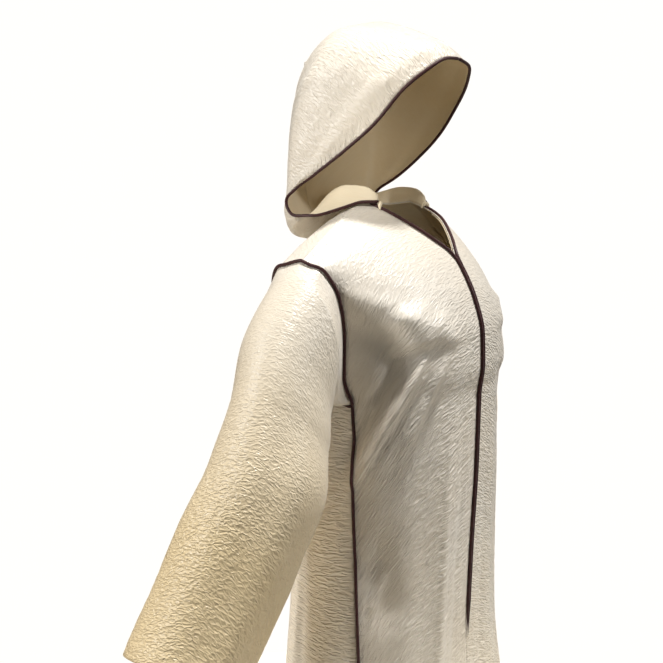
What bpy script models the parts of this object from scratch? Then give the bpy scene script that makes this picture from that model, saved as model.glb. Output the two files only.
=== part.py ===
"""Hooded abaya in crinkled satin with dark piping, worn open at the neck and held out by its wearer.

Metres, +Z up. The front faces -Y, the wearer's right side is at -X.
The origin is midway between the shoulders, at the height where the cloth bears on the neck's sides.
"""

import math

import bpy
import numpy as np
from mathutils import Vector
from mathutils.bvhtree import BVHTree

# Driving dimensions
MM = 0.001
CLOTH = 1.8 * MM            # wall of the double satin
SEAM_GAP = 0.7 * MM         # between two panels that are sewn to each other
SHOULDER_GAP = 1.3 * MM     # front and back panels meet at an angle on the shoulder
PIPING_RADIUS = 2.6 * MM
CLEARANCE = 0.6 * MM        # between a piece and the cloth that it lies on
ON_CLOTH = PIPING_RADIUS + CLOTH / 2 + CLEARANCE   # from the piping's centre to the cloth's middle
BESIDE_EDGE = PIPING_RADIUS + 0.9 * MM              # and to an edge that it runs beside
GIRTH_PER_DEGREE = 3.8 * MM  # cloth along the body's girth for a degree of ring angle
SHOULDER_FALL = 1.35        # power of the shoulder's fall with the distance from the neck
OPENING_END = -735 * MM     # where the front opening and its piping end
FACING_WIDTH = 12 * MM

SATIN = ("satin", (0.80, 0.74, 0.62), 0.45)
LINING = ("satin_inside", (0.78, 0.71, 0.57), 0.5)
PIPING = ("piping", (0.06, 0.025, 0.022), 0.4)

# The body of the garment from shoulder to hem, in millimetres. Each row is a ring round the body.
# level: height at the centre, fall: how fast it drops towards the arm, half: half width,
# front and back: depth, power: squareness, neck_f and neck_b: half width of the neck opening,
# arm_f and arm_b: how far before and behind the arm the front and back panels end.
BODY_COLUMNS = ("level", "fall", "half", "front", "back", "power", "neck_f", "neck_b", "arm_f", "arm_b")
BODY_ROWS = (
    (29, 0.720, 252, 0, 0, 2.0, 78, 78, 0, 0),
    (18, 0.700, 250, 30, 30, 2.0, 78, 62, 14, 26),
    (-4, 0.600, 245, 62, 60, 2.1, 70, 0, 30, 46),
    (-47, 0.450, 237, 100, 84, 2.1, 35, 0, 42, 60),
    (-93, 0.300, 229, 133, 98, 2.2, 0, 0, 49, 66),
    (-150, 0.150, 222, 162, 106, 2.3, 0, 0, 51, 66),
    (-205, 0.050, 218, 177, 110, 2.3, 0, 0, 50, 60),
    (-258, 0.000, 217, 179, 112, 2.3, 0, 0, 49, 38),
    (-285, 0.000, 213, 176, 112, 2.3, 0, 0, 55, 0),
    (-300, 0.000, 211, 174, 110, 2.3, 0, 0, 63, -63),
    (-430, 0.000, 212, 172, 99, 2.3, 0, 0, 66, -66),
    (-580, 0.000, 215, 166, 93, 2.3, 0, 0, 73, -73),
    (-740, 0.000, 221, 163, 98, 2.3, 0, 0, 84, -84),
    (-1000, 0.000, 252, 188, 134, 2.3, 0, 0, 100, -100),
    (-1420, 0.000, 305, 240, 196, 2.3, 0, 0, 130, -130),
)
UNDERARM_ROW = 9

# Large folds of the body: each runs from one point to another, given as the ring angle from the
# centre front in degrees, positive to the wearer's right, and the height in millimetres.
# width and height are in millimetres; a trough has a negative height.
FOLD_COLUMNS = ("from_angle", "from_z", "to_angle", "to_z", "width", "height")
BODY_FOLDS = (
    (42, -130, 38, -225, 46, 10),
    (-42, -130, -38, -225, 46, 11),
    (58, -130, 46, -310, 40, -6),
    (-58, -130, -46, -310, 40, -6),
    (30, -200, 70, -460, 30, 7),
    (-30, -200, -70, -460, 30, 7),
    (18, -180, 21, -1420, 26, 10),
    (-18, -180, -20, -1420, 26, 9),
    (62, -480, 46, -680, 38, -10),
    (47, -620, 50, -1420, 34, -12),
    (-41, -160, -42, -1420, 46, 15),
    (-47, -560, -52, -1420, 30, -8),
    (-60, -620, -58, -1420, 32, -10),
    (62, -760, 64, -1420, 28, 12),
    (96, -330, 97, -1420, 28, -11),
    (113, -300, 114, -1420, 28, 8),
    (130, -380, 132, -1420, 30, -11),
    (150, -300, 150, -1420, 30, 8),
    (170, -420, 168, -1420, 32, -10),
    (-96, -360, -97, -1420, 28, -11),
    (-114, -320, -113, -1420, 28, 8),
    (-133, -400, -131, -1420, 30, -11),
    (-152, -340, -150, -1420, 30, 8),
)

# Rings of the sleeves, in millimetres, at -X. lean is the angle of the ring's long axis from
# upright; long and short are the half axes. The right arm is held out, the left one hangs.
UNDERARM_ANGLE = -60        # where the side seam's end meets a ring, 0 at its front and 90 on top
SLEEVE_COLUMNS = ("x", "y", "z", "lean", "long", "short")
RIGHT_SLEEVE = (
    (-263, 0, -207, 8, 104, 72),
    (-290, 2, -258, 30, 100, 73),
    (-316, -7, -320, 48, 96, 73),
    (-347, -9, -390, 58, 95, 86),
    (-387, 10, -475, 62, 96, 90),
    (-430, 30, -565, 63, 92, 88),
    (-468, 46, -640, 63, 90, 86),
)
LEFT_SLEEVE = (
    (-263, 2, -207, 8, 104, 72),
    (-285, 14, -260, 28, 98, 75),
    (-301, 18, -325, 46, 91, 84),
    (-313, 25, -395, 62, 82, 93),
    (-325, 35, -475, 73, 76, 98),
    (-335, 45, -560, 79, 72, 100),
    (-343, 52, -645, 81, 70, 100),
)

# Long soft folds of a sleeve: ring angle (0 front, 90 outer, 180 back, 270 inner), where it
# starts and ends as a share of the length, width in degrees and height in millimetres.
SLEEVE_FOLD_COLUMNS = ("angle", "start", "end", "width", "height")
SLEEVE_FOLDS = (
    (20, 0.30, 1.05, 16, 4),
    (48, 0.20, 1.05, 18, -4),
    (118, 0.35, 1.05, 20, 4),
    (150, 0.15, 0.90, 20, -5),
    (205, 0.30, 1.05, 18, 5),
    (238, 0.10, 1.05, 18, -6),
    (275, 0.35, 1.05, 20, 5),
    (318, 0.12, 0.75, 18, -6),
)

# The right half of the hood, in millimetres: rows from the crown seam down to the neck seam.
# Each row runs from the free front edge over a cheek point and a turn point to the back seam.
HOOD_COLUMNS = ("edge_x", "edge_y", "edge_z", "cheek_x", "cheek_y", "cheek_z",
                "turn_x", "turn_y", "turn_z", "back_y", "back_z")
HOOD_ROWS = (
    (0, -126, 231, 0, -86, 264, 0, 40, 302, 172, 249),
    (-42, -124, 226, -60, -82, 250, -82, 50, 277, 172, 224),
    (-74, -108, 206, -96, -62, 222, -116, 62, 236, 181, 176),
    (-100, -79, 174, -118, -30, 184, -124, 88, 188, 182, 126),
    (-113, -40, 127, -128, 12, 134, -124, 108, 130, 177, 78),
    (-124, 8, 87, -134, 50, 86, -122, 118, 78, 172, 34),
    (-131, 62, 50, -134, 86, 44, -112, 128, 30, 162, -6),
    (-131, 104, 24, -128, 118, 12, -96, 138, -14, 150, -40),
    (-130, 119, 2, -122, 126, -16, -82, 138, -48, 136, -60),
    (-134, 98, -19, -118, 112, -36, -76, 124, -54, 118, -58),
    (-131, 62, -17, -120, 84, -20, -80, 104, -34, 102, -42),
    (-110, 24, -4, -104, 48, 12, -80, 80, 2, 90, -14),
    (-95, -10, 7, -92, 20, 31, -74, 62, 22, 82, 6),
    (-87, -26, 7, -84, -6, 29, -75, 48, 24, 74, 10),
    (-82, -30, 8, -80, -20, 20, -76, 38, 19, 68, 10),
)

ACROSS_FRONT = 12
DOWN_SKIRT = 15
ACROSS_BACK = 23
ROUND_SLEEVE = 26
DOWN_SLEEVE = 14
ACROSS_HOOD = 14

RIGHT, LEFT = 1, -1


def clear_scene():
    for obj in list(bpy.data.objects):
        bpy.data.objects.remove(obj)


def material(finish):
    name, colour, roughness = finish
    made = bpy.data.materials.get(name) or bpy.data.materials.new(name)
    made.use_nodes = True
    shader = made.node_tree.nodes["Principled BSDF"]
    shader.inputs["Base Color"].default_value = (*colour, 1)
    shader.inputs["Roughness"].default_value = roughness
    return made


def smooth_rows(rows, at):
    """The table's rows read at fractional row numbers, on a curve with no overshoot between rows."""
    rows = np.array(rows, float)
    at = np.atleast_1d(np.asarray(at, float))
    steps = np.diff(rows, axis=0)
    before, after = steps[:-1], steps[1:]
    inner = np.where(before * after > 0, 2 * before * after / (before + after + 1e-12), 0)
    slopes = np.vstack([steps[:1], inner, steps[-1:]])
    i = np.clip(np.floor(at).astype(int), 0, len(rows) - 2)
    t = (at - i)[:, None]
    return (
        rows[i] * (1 + 2 * t) * (1 - t) ** 2
        + rows[i + 1] * t * t * (3 - 2 * t)
        + slopes[i] * t * (1 - t) ** 2
        - slopes[i + 1] * t * t * (1 - t)
    )


def body_row(number):
    """A row of the table with the half widths of its full rings before and behind added.
    The table's half width is where the panel ends, at the arm or the side seam."""
    row = dict(zip(BODY_COLUMNS, smooth_rows(BODY_ROWS, number)[0]))
    power = row["power"]
    before = row["arm_f"] / row["front"] if row["front"] > 0.5 else 0
    behind = max(0, row["arm_b"]) / row["back"] if row["back"] > 0.5 else 0
    row["ring_f"] = row["half"] / (1 - before**power) ** (1 / power)
    row["ring_b"] = max(row["ring_f"], row["half"] / (1 - behind**power) ** (1 / power))
    return row


def ring_angle(share, power):
    """The ring angle, in degrees, where the ring's half width is this share of its full one."""
    return math.degrees(math.asin(min(1.0, max(0.0, share)) ** (power / 2)))


def depth_angle(share, power):
    """The ring angle, in degrees, where the ring's depth is this share of its full one."""
    return math.degrees(math.acos(min(1.0, max(0.0, share)) ** (power / 2)))


def fold_height(angle, z, folds=BODY_FOLDS):
    """How far the body's cloth stands out at a point, in millimetres, from all of its folds."""
    total = 0.0
    girth = GIRTH_PER_DEGREE / MM
    for values in folds:
        fold = dict(zip(FOLD_COLUMNS, values))
        start = np.array([fold["from_angle"] * girth, fold["from_z"]])
        run = np.array([fold["to_angle"] * girth, fold["to_z"]]) - start
        here = np.array([angle * girth, z]) - start
        along = float(here @ run / (run @ run))
        off = float(np.linalg.norm(here - run * min(1.0, max(0.0, along))))
        along = min(1.0, max(0.0, along))
        to_hem = fold["to_z"] <= -1400
        ease = min(1.0, along / 0.3) * (1.0 if to_hem else min(1.0, (1 - along) / 0.3))
        width = fold["width"] * (0.8 + 0.9 * along if to_hem else 1.0)
        height = fold["height"] * (0.4 + 1.1 * along if to_hem else 1.0)
        total += height * ease * ease * (3 - 2 * ease) * math.exp(-((off / width) ** 2))
    return total


def body_point(angle, number):
    """A point of the body's cloth: ring angle in degrees (0 centre front, 180 centre back,
    positive to the wearer's right) on the ring of that row number."""
    row = body_row(number)
    turn = math.radians(abs(angle))
    side = -1 if angle > 0 else 1
    half = row["ring_f"] if abs(angle) <= 90 else row["ring_b"]
    across = half * abs(math.sin(turn)) ** (2 / row["power"])
    depth = row["front"] if abs(angle) <= 90 else row["back"]
    forward = -depth * math.copysign(abs(math.cos(turn)) ** (2 / row["power"]), math.cos(turn))
    z = row["level"] - 1000 * row["fall"] * (across / 1000) ** SHOULDER_FALL
    out = np.array([side * abs(math.sin(turn)), -math.cos(turn) * 1.2, 0])
    out /= np.linalg.norm(out)
    ring = np.array([side * across, forward, z])
    return (ring + out * fold_height(angle, row["level"])) * MM


def edge_angles(number, panel):
    """The ring angles of a panel's inner and outer edge on this row."""
    row = body_row(number)
    if panel == "front":
        inner = ring_angle(row["neck_f"] / row["ring_f"], row["power"])
        share = row["arm_f"] / row["front"] if row["front"] > 0.5 else 0
        return inner, depth_angle(share, row["power"])
    inner = 180 - ring_angle(row["neck_b"] / row["ring_b"], row["power"])
    if row["arm_b"] >= 0:
        share = row["arm_b"] / row["back"] if row["back"] > 0.5 else 0
        return inner, 180 - depth_angle(share, row["power"])
    return inner, depth_angle(-row["arm_b"] / row["front"], row["power"])


def body_row_numbers():
    """Row numbers from shoulder to hem, closer together over the shoulder and the bust."""
    upper = np.arange(0, UNDERARM_ROW, 0.5)
    lower = np.linspace(UNDERARM_ROW, len(BODY_ROWS) - 1, DOWN_SKIRT)
    return np.concatenate([upper, lower])


def pull_back(points, amount, ends=(0, -1)):
    """A row of points with its ends drawn in along the row by this much."""
    points = np.array(points)
    for end in ends:
        step = points[1 if end == 0 else -2] - points[end]
        points[end] += step / np.linalg.norm(step) * amount
    return points


def front_panel(side):
    """One front: rows from the neck or centre edge to the armhole or side seam."""
    rows = []
    for number in body_row_numbers():
        inner, outer = edge_angles(number, "front")
        row = [body_point(side * a, number) for a in np.linspace(inner, outer, ACROSS_FRONT)]
        rows.append(pull_back(row, SEAM_GAP / 2))
    grid = np.array(rows)
    grid[0, :, 1] -= SHOULDER_GAP / 2
    return grid


def back_panel():
    """The back's points and faces, and the strips of it beside the right and left seams. Its rows
    run from one armhole or side seam round to the other, parted by the neck above the nape."""
    half = ACROSS_BACK // 2 + 1
    points, faces, strips, above = [], [], {RIGHT: [], LEFT: []}, None
    for number in body_row_numbers():
        inner, outer = edge_angles(number, "back")
        angles = np.linspace(outer, inner, half)
        right = pull_back([body_point(a, number) for a in angles], SEAM_GAP / 2, ends=(0,))
        left = pull_back([body_point(-a, number) for a in angles], SEAM_GAP / 2, ends=(0,))[::-1]
        strips[RIGHT].append(right[:4])
        strips[LEFT].append(left[:-5:-1])
        joined = inner >= 180
        first = len(points)
        points += list(right) + list(left[1:] if joined else left)
        numbers = list(range(first, len(points)))
        row = (numbers[:half], numbers[half - 1:] if joined else numbers[half:])
        if above is None:
            for n in numbers:
                points[n][1] += SHOULDER_GAP / 2
        else:
            for upper, lower in zip(above, row):
                faces += [(upper[c], upper[c + 1], lower[c + 1], lower[c]) for c in range(half - 1)]
        above = row
    return np.array(points), faces, {side: np.array(strip) for side, strip in strips.items()}


def body_normal(angle, number):
    """The direction out of the body's cloth at a point."""
    across = body_point(angle + 0.5, number) - body_point(angle - 0.5, number)
    down = body_point(angle, number + 0.05) - body_point(angle, number - 0.05)
    normal = np.cross(across, down)
    return normal / np.linalg.norm(normal)


def armhole_line(count):
    """The right armhole's seam: points, and directions out of the body, from the top
    down the front, under the arm and up the back."""
    halves = []
    for panel, numbers in (("front", np.linspace(0.02, UNDERARM_ROW, 60)),
                           ("back", np.linspace(UNDERARM_ROW, 0.02, 60))):
        line = []
        for n in numbers:
            angle = edge_angles(n, panel)[1]
            line.append(np.concatenate([body_point(angle, n), body_normal(angle, n)]))
        halves.append(resample(line, count // 2 + 1)[:-1])
    line = np.vstack(halves)
    out = line[:, 3:] / np.linalg.norm(line[:, 3:], axis=1, keepdims=True)
    return line[:, :3], out


def resample(points, count):
    """The same line with its points evenly spaced along it."""
    points = np.array(points, float)
    steps = np.linalg.norm(np.diff(points[:, :3], axis=0), axis=1)
    lengths = np.concatenate([[0], np.cumsum(steps)])
    wanted = np.linspace(0, lengths[-1], count)
    return np.column_stack([np.interp(wanted, lengths, column) for column in points.T])


def through(controls, count):
    """A smooth curve through the control points, evenly resampled."""
    controls = np.array(controls, float)
    padded = np.vstack([2 * controls[0] - controls[1], controls, 2 * controls[-1] - controls[-2]])
    fine = []
    for i in range(1, len(padded) - 2):
        p0, p1, p2, p3 = padded[i - 1:i + 3]
        for t in np.linspace(0, 1, 16, endpoint=False):
            fine.append(0.5 * (2 * p1 + (p2 - p0) * t + (2 * p0 - 5 * p1 + 4 * p2 - p3) * t * t
                               + (3 * p1 - p0 - 3 * p2 + p3) * t ** 3))
    fine.append(padded[-2])
    return resample(fine, count)


def sleeve_grid(table, side):
    """Rings of a sleeve from the armhole to the cuff, each starting at the top."""
    seam, out = armhole_line(ROUND_SLEEVE)
    loop = seam + np.array([-1, 0, 0]) * (CLOTH + SEAM_GAP)
    half = ROUND_SLEEVE // 2
    angles = np.radians(np.concatenate([
        np.linspace(90, UNDERARM_ANGLE, half, endpoint=False),
        np.linspace(UNDERARM_ANGLE, 90 - 360, half, endpoint=False),
    ]))
    stations = smooth_rows(table, np.linspace(0, len(table) - 1, DOWN_SLEEVE))
    rings = [loop]
    for step, values in enumerate(stations):
        row = dict(zip(SLEEVE_COLUMNS, values))
        share = step / (DOWN_SLEEVE - 1)
        lean = math.radians(row["lean"])
        long_axis = np.array([-math.sin(lean), 0, math.cos(lean)])
        front_axis = np.array([0, -1, 0])
        ring = []
        for angle in angles:
            lift = sleeve_fold(math.degrees(angle) % 360, share)
            ring.append(np.array([row["x"], row["y"], row["z"]])
                        + long_axis * math.sin(angle) * (row["long"] + lift)
                        + front_axis * math.cos(angle) * (row["short"] + lift))
        rings.append(np.array(ring) * MM)
    grid = np.array(rings)
    grid[:, :, 0] *= side
    return grid


def sleeve_fold(angle, share):
    total = 0.0
    for values in SLEEVE_FOLDS:
        fold = dict(zip(SLEEVE_FOLD_COLUMNS, values))
        off = (angle - fold["angle"] + 180) % 360 - 180
        ease = min(1.0, max(0.0, share - fold["start"]) / 0.25)
        ease *= min(1.0, max(0.0, fold["end"] - share) / 0.1)
        total += fold["height"] * ease * math.exp(-((off / fold["width"]) ** 2))
    return total


def neck_line(count):
    """The right half of the neck seam that carries the hood: from its front corner to the nape."""
    front = [body_point(edge_angles(n, "front")[0], n) for n in (1.0, 0.5, 0)]
    back = [body_point(edge_angles(n, "back")[0], n) for n in (0.5, 1.0, 1.5, 2.0)]
    return resample(front + back, count) + [0, 0, CLOTH + SEAM_GAP]


def hood_grid():
    """The right half of the hood, its rows from the crown seam to the neck seam."""
    rows = []
    curl = np.arange(6, 10, 1 / 3)
    numbers = np.concatenate([np.arange(0, 6, 0.5), curl, np.arange(10, len(HOOD_ROWS) - 0.9, 0.5)])
    for values in smooth_rows(HOOD_ROWS, numbers) * MM:
        edge, cheek, turn = values[0:3], values[3:6], values[6:9]
        back = np.array([0, *values[9:11]])
        mirrored = turn * [-1, 1, 1]
        curve = through([edge, cheek, turn, back, mirrored], 121)
        nearest = int(np.argmin(np.abs(curve[60:, 0]))) + 60 if abs(turn[0]) > 2 * MM else None
        if nearest is None:
            rows.append(through([edge, cheek, turn, back], ACROSS_HOOD))
        else:
            rows.append(resample(curve[:nearest + 1], ACROSS_HOOD))
    rows.append(neck_line(ACROSS_HOOD))
    grid = np.array(rows)
    grid[0, :, 0] = 0
    grid[:, -1, 0] = 0
    leaning = CLOTH / 2 * np.abs(surface_normals(grid)[:, :, 0])
    grid[0, :, 0] = -(SEAM_GAP / 3 + leaning[0])
    grid[:, -1, 0] = -(SEAM_GAP / 3 + leaning[:, -1])
    return grid


def grid_object(name, grid, finish, around=False, flip=False):
    """A sheet of cloth lofted over a grid of points, given its wall by Solidify."""
    faces = grid_faces(*grid.shape[:2], around)
    return cloth_object(name, grid.reshape(-1, 3), faces, finish, flip)


def cloth_object(name, points, faces, finish, flip=False):
    if flip:
        faces = [face[::-1] for face in faces]
    mesh = bpy.data.meshes.new(name)
    mesh.from_pydata([tuple(p) for p in points], [], faces)
    mesh.shade_smooth()
    obj = bpy.data.objects.new(name, mesh)
    mesh.materials.append(material(finish))
    wall = obj.modifiers.new("Wall", "SOLIDIFY")
    wall.thickness = CLOTH
    wall.offset = 0
    return obj


def piping_object(name, path, tapered=False):
    """A covered cord along a path."""
    curve = bpy.data.curves.new(name, "CURVE")
    curve.dimensions = "3D"
    curve.bevel_depth = PIPING_RADIUS
    curve.bevel_resolution = 1
    curve.use_fill_caps = True
    spline = curve.splines.new("POLY")
    spline.points.add(len(path) - 1)
    for i, (point, place) in enumerate(zip(spline.points, path)):
        point.co = (*place, 1)
        left = (len(path) - 1 - i) / 8
        point.radius = max(0.25, min(1.0, left)) if tapered else 1.0
    curve.materials.append(material(PIPING))
    return bpy.data.objects.new(name, curve)


def surface_normals(grid, around=False):
    """Unit normals of a grid of points, from its rows and columns."""
    down = np.gradient(grid, axis=0)
    across = (np.roll(grid, -1, axis=1) - np.roll(grid, 1, axis=1)) if around else np.gradient(grid, axis=1)
    normal = np.cross(across, down)
    return normal / np.linalg.norm(normal, axis=2, keepdims=True)


def grid_faces(rows, columns, around=False, first=0):
    """The quadrilaterals between a grid's points, as numbers of points."""
    span = columns if around else columns - 1
    return [(first + r * columns + c, first + r * columns + (c + 1) % columns,
             first + (r + 1) * columns + (c + 1) % columns, first + (r + 1) * columns + c)
            for r in range(rows - 1) for c in range(span)]


def cloth_tree(*grids):
    """The grids as one surface that can be asked for its nearest point. A grid in a list by
    itself closes round on itself."""
    points, faces = [], []
    for grid in grids:
        around = isinstance(grid, list)
        grid = grid[0] if around else grid
        faces += grid_faces(*grid.shape[:2], around, len(points))
        points += [tuple(p) for p in grid.reshape(-1, 3)]
    return BVHTree.FromPolygons(points, faces)


def settled(path, cloth, reach, closed=False):
    """The path pushed off the cloth until its points and its spans are this far from it."""
    path = path.copy()
    last = len(path) if closed else len(path) - 1
    for _ in range(60):
        for i in range(last):
            for ends in ((i,), (i, (i + 1) % len(path))):
                place = Vector(sum(path[e] for e in ends) / len(ends))
                nearest, _, _, distance = cloth.find_nearest(place)
                if distance < reach:
                    for e in ends:
                        path[e] += (place - nearest) / distance * (reach - distance)
    return path


def front_edge_piping(side, grid):
    """Piping on a front's neck edge and centre edge, down to the end of the opening."""
    normals = surface_normals(grid) * side
    inward = grid[:, 1] - grid[:, 0]
    inward /= np.linalg.norm(inward, axis=1, keepdims=True)
    path = grid[:, 0] + inward * PIPING_RADIUS + normals[:, 0] * ON_CLOTH
    path = resample(path[2:], 400)
    below_hood = np.linalg.norm(path - path[0], axis=1) > 7 * MM
    path = resample(path[below_hood & (path[:, 2] > OPENING_END)], 44)
    return settled(path, cloth_tree(grid[:, :5]), ON_CLOTH)


def hood_piping(grid):
    """Piping along the hood's free edge, from the crown seam to the corner at the neck."""
    edge = grid[:-1, 0]
    along = np.gradient(edge, axis=0)
    along /= np.linalg.norm(along, axis=1, keepdims=True)
    outward = edge - grid[:-1, 1]
    outward -= along * np.sum(outward * along, axis=1, keepdims=True)
    outward /= np.linalg.norm(outward, axis=1, keepdims=True)
    path = resample(edge + outward * BESIDE_EDGE, 50)
    path = settled(path, cloth_tree(grid[:, :5]), BESIDE_EDGE)
    path[-1] = path[-2] + (path[-1] - path[-2]) * 0.6
    path[0, 0] = math.copysign(SEAM_GAP / 2, path[1, 0])
    return path


def over_seam(points, first, second):
    """The line over a seam between two pieces, from their outward directions."""
    opening = 1 + np.sum(first * second, axis=1, keepdims=True)
    return points + (first + second) / np.maximum(opening, 0.3) * ON_CLOTH


def armhole_piping(side, sleeve, front, back_strip):
    """Piping round the seam between the body and a sleeve. Its ends are joined under the arm,
    where the seam turns down into the side seam."""
    fine = 3
    seam, out = armhole_line(ROUND_SLEEVE * fine)
    seam, out = seam * [side, 1, 1], out * [side, 1, 1]
    sleeve_out = surface_normals(sleeve, around=True)[0] * -side
    at = np.arange(ROUND_SLEEVE * fine) / fine
    closed = np.vstack([sleeve_out, sleeve_out[:1]])
    sleeve_out = np.column_stack([np.interp(at, np.arange(len(closed)), c) for c in closed.T])
    middle = seam + np.array([-side, 0, 0]) * (CLOTH + SEAM_GAP) / 2
    path = over_seam(middle, out, sleeve_out)
    cloth = cloth_tree([sleeve[:4]], front[:24, -5:], back_strip[:24])
    for _ in range(3):
        path = settled(path, cloth, 1.3 * ON_CLOTH, closed=True)
        path = (np.roll(path, 1, axis=0) + 2 * path + np.roll(path, -1, axis=0)) / 4
    underarm = len(path) // 2
    path = np.roll(path, -underarm - 4, axis=0)[:-4]
    return settled(resample(path, 54), cloth, ON_CLOTH)


def side_piping(side, front, back_strip):
    """Piping down the side seam from under the arm to the hem."""
    numbers = np.linspace(UNDERARM_ROW + 0.13, len(BODY_ROWS) - 1, 60)
    points, out = [], []
    for n in numbers:
        angle = side * edge_angles(n, "front")[1]
        points.append(body_point(angle, n))
        out.append(body_normal(angle, n))
    path = resample(over_seam(np.array(points), np.array(out), np.array(out)), 30)
    return settled(path, cloth_tree(front[16:, -5:], back_strip[16:]), ON_CLOTH)


def neck_facing(side, grid):
    """The smooth strip behind a front's neck edge, carried on a little way down the opening."""
    normals = surface_normals(grid) * side
    rows = []
    for row, out in zip(grid[3:20], normals[3:20]):
        inward = (row[1] - row[0]) / np.linalg.norm(row[1] - row[0])
        behind = row[0] - out[0] * (CLOTH + CLEARANCE)
        rows.append([behind + inward * FACING_WIDTH * share for share in (0.03, 0.36, 0.68, 1)])
    return np.array(rows)


def main():
    clear_scene()
    garment = bpy.data.collections.new("hooded_abaya")
    bpy.context.scene.collection.children.link(garment)

    points, faces, strips = back_panel()
    pieces = [cloth_object("back", points, faces, SATIN)]
    for side, word, arm in ((RIGHT, "right", RIGHT_SLEEVE), (LEFT, "left", LEFT_SLEEVE)):
        turned = side == LEFT
        front = front_panel(side)
        sleeve = sleeve_grid(arm, side)
        hood = hood_grid() * [side, 1, 1]
        pieces += [
            grid_object(f"front_{word}", front, SATIN, flip=turned),
            grid_object(f"neck_facing_{word}", neck_facing(side, front), LINING, flip=turned),
            grid_object(f"sleeve_{word}", sleeve, SATIN, around=True, flip=turned),
            grid_object(f"hood_{word}", hood, SATIN, flip=turned),
            piping_object(f"piping_front_{word}", front_edge_piping(side, front), tapered=True),
            piping_object(f"piping_hood_{word}", hood_piping(hood)),
            piping_object(f"piping_armhole_{word}", armhole_piping(side, sleeve, front, strips[side])),
            piping_object(f"piping_side_{word}", side_piping(side, front, strips[side])),
        ]
    for piece in pieces:
        garment.objects.link(piece)


main()
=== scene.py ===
# %% [markdown]
# # A hooded abaya in crinkled satin
#
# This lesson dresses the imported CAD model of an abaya: a long, loose robe with a hood and wide
# sleeves. The robe is cut from ivory satin with a crash finish, which is a cloth that is twisted
# and heated so that it keeps thousands of small wrinkles. Dark satin piping covers the seams.
# Every length is in metres, +Z is up, the front faces -Y and the wearer's right side is at -X.

# %% Load the frame
import math

import bpy
import numpy as np
from mathutils import Matrix, Vector
from mathutils.bvhtree import BVHTree


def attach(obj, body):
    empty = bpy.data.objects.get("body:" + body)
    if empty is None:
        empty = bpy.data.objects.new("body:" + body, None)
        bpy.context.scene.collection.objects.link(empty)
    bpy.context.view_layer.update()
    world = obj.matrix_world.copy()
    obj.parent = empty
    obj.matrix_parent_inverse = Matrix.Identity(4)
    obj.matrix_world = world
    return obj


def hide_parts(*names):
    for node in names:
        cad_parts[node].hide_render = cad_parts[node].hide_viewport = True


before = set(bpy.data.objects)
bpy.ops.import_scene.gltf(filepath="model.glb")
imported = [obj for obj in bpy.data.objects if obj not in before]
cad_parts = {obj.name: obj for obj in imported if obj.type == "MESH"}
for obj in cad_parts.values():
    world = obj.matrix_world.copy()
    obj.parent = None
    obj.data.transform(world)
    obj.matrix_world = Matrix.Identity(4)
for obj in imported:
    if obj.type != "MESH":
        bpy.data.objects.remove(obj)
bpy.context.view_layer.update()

# %% [markdown]
# ## The camera
#
# The camera comes first, because everything else is judged through it. It stands 1.5 m from the
# point between the shoulders and level with it, to the right of the wearer's front. The aim is set
# with two small turns, one sideways and one down, which is how a picture is framed by hand. A shift
# of the lens would do the same here, but it would stay on when the camera moves elsewhere.

# %% Make the camera
IMAGE = 663                     # the picture is square, in pixels
FOCAL_PIXELS = 870
COLLAR_PIXEL = (387, 205)       # where the point between the shoulders is seen
CAMERA_DISTANCE = 1.5
SENSOR = 36                     # mm

towards = Vector((0.866, 0.5, 0)).normalized()
sideways = Vector((0.5, -0.866, 0)).normalized()
upwards = Vector((0, 0, 1))
yaw = math.atan((COLLAR_PIXEL[0] - IMAGE / 2) / FOCAL_PIXELS)
pitch = math.atan((IMAGE / 2 - COLLAR_PIXEL[1]) / FOCAL_PIXELS)
aim = towards * math.cos(yaw) - sideways * math.sin(yaw)
image_right = sideways * math.cos(yaw) + towards * math.sin(yaw)
view_line = aim * math.cos(pitch) - upwards * math.sin(pitch)
image_up = upwards * math.cos(pitch) + aim * math.sin(pitch)

camera_data = bpy.data.cameras.new("camera")
camera_data.lens = FOCAL_PIXELS / IMAGE * SENSOR
camera_data.sensor_width = SENSOR
camera = bpy.data.objects.new("camera", camera_data)
bpy.context.scene.collection.objects.link(camera)
turned = Matrix((image_right, image_up, -view_line)).transposed().to_4x4()
camera.matrix_world = Matrix.Translation(-towards * CAMERA_DISTANCE) @ turned
bpy.context.scene.camera = camera
print(f"camera lens {camera_data.lens:.1f} mm")

# %% [markdown]
# ## The cut of the body
#
# A garment on a wearer can be described as a stack of rings, each a rounded rectangle, from the
# shoulder down to the hem. A table with one row per ring is enough: a smooth curve through the
# rows gives any ring between them. These rows are the same as the CAD model's, so that the cloth
# lies where the solids lie. Lengths in the tables are in millimetres. A row says at what level its
# ring lies and how far it falls away to the sides, then its half width, its depth in front and
# behind, how square it is, how wide the neck opening is there, and where the armholes' edges lie.

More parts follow.
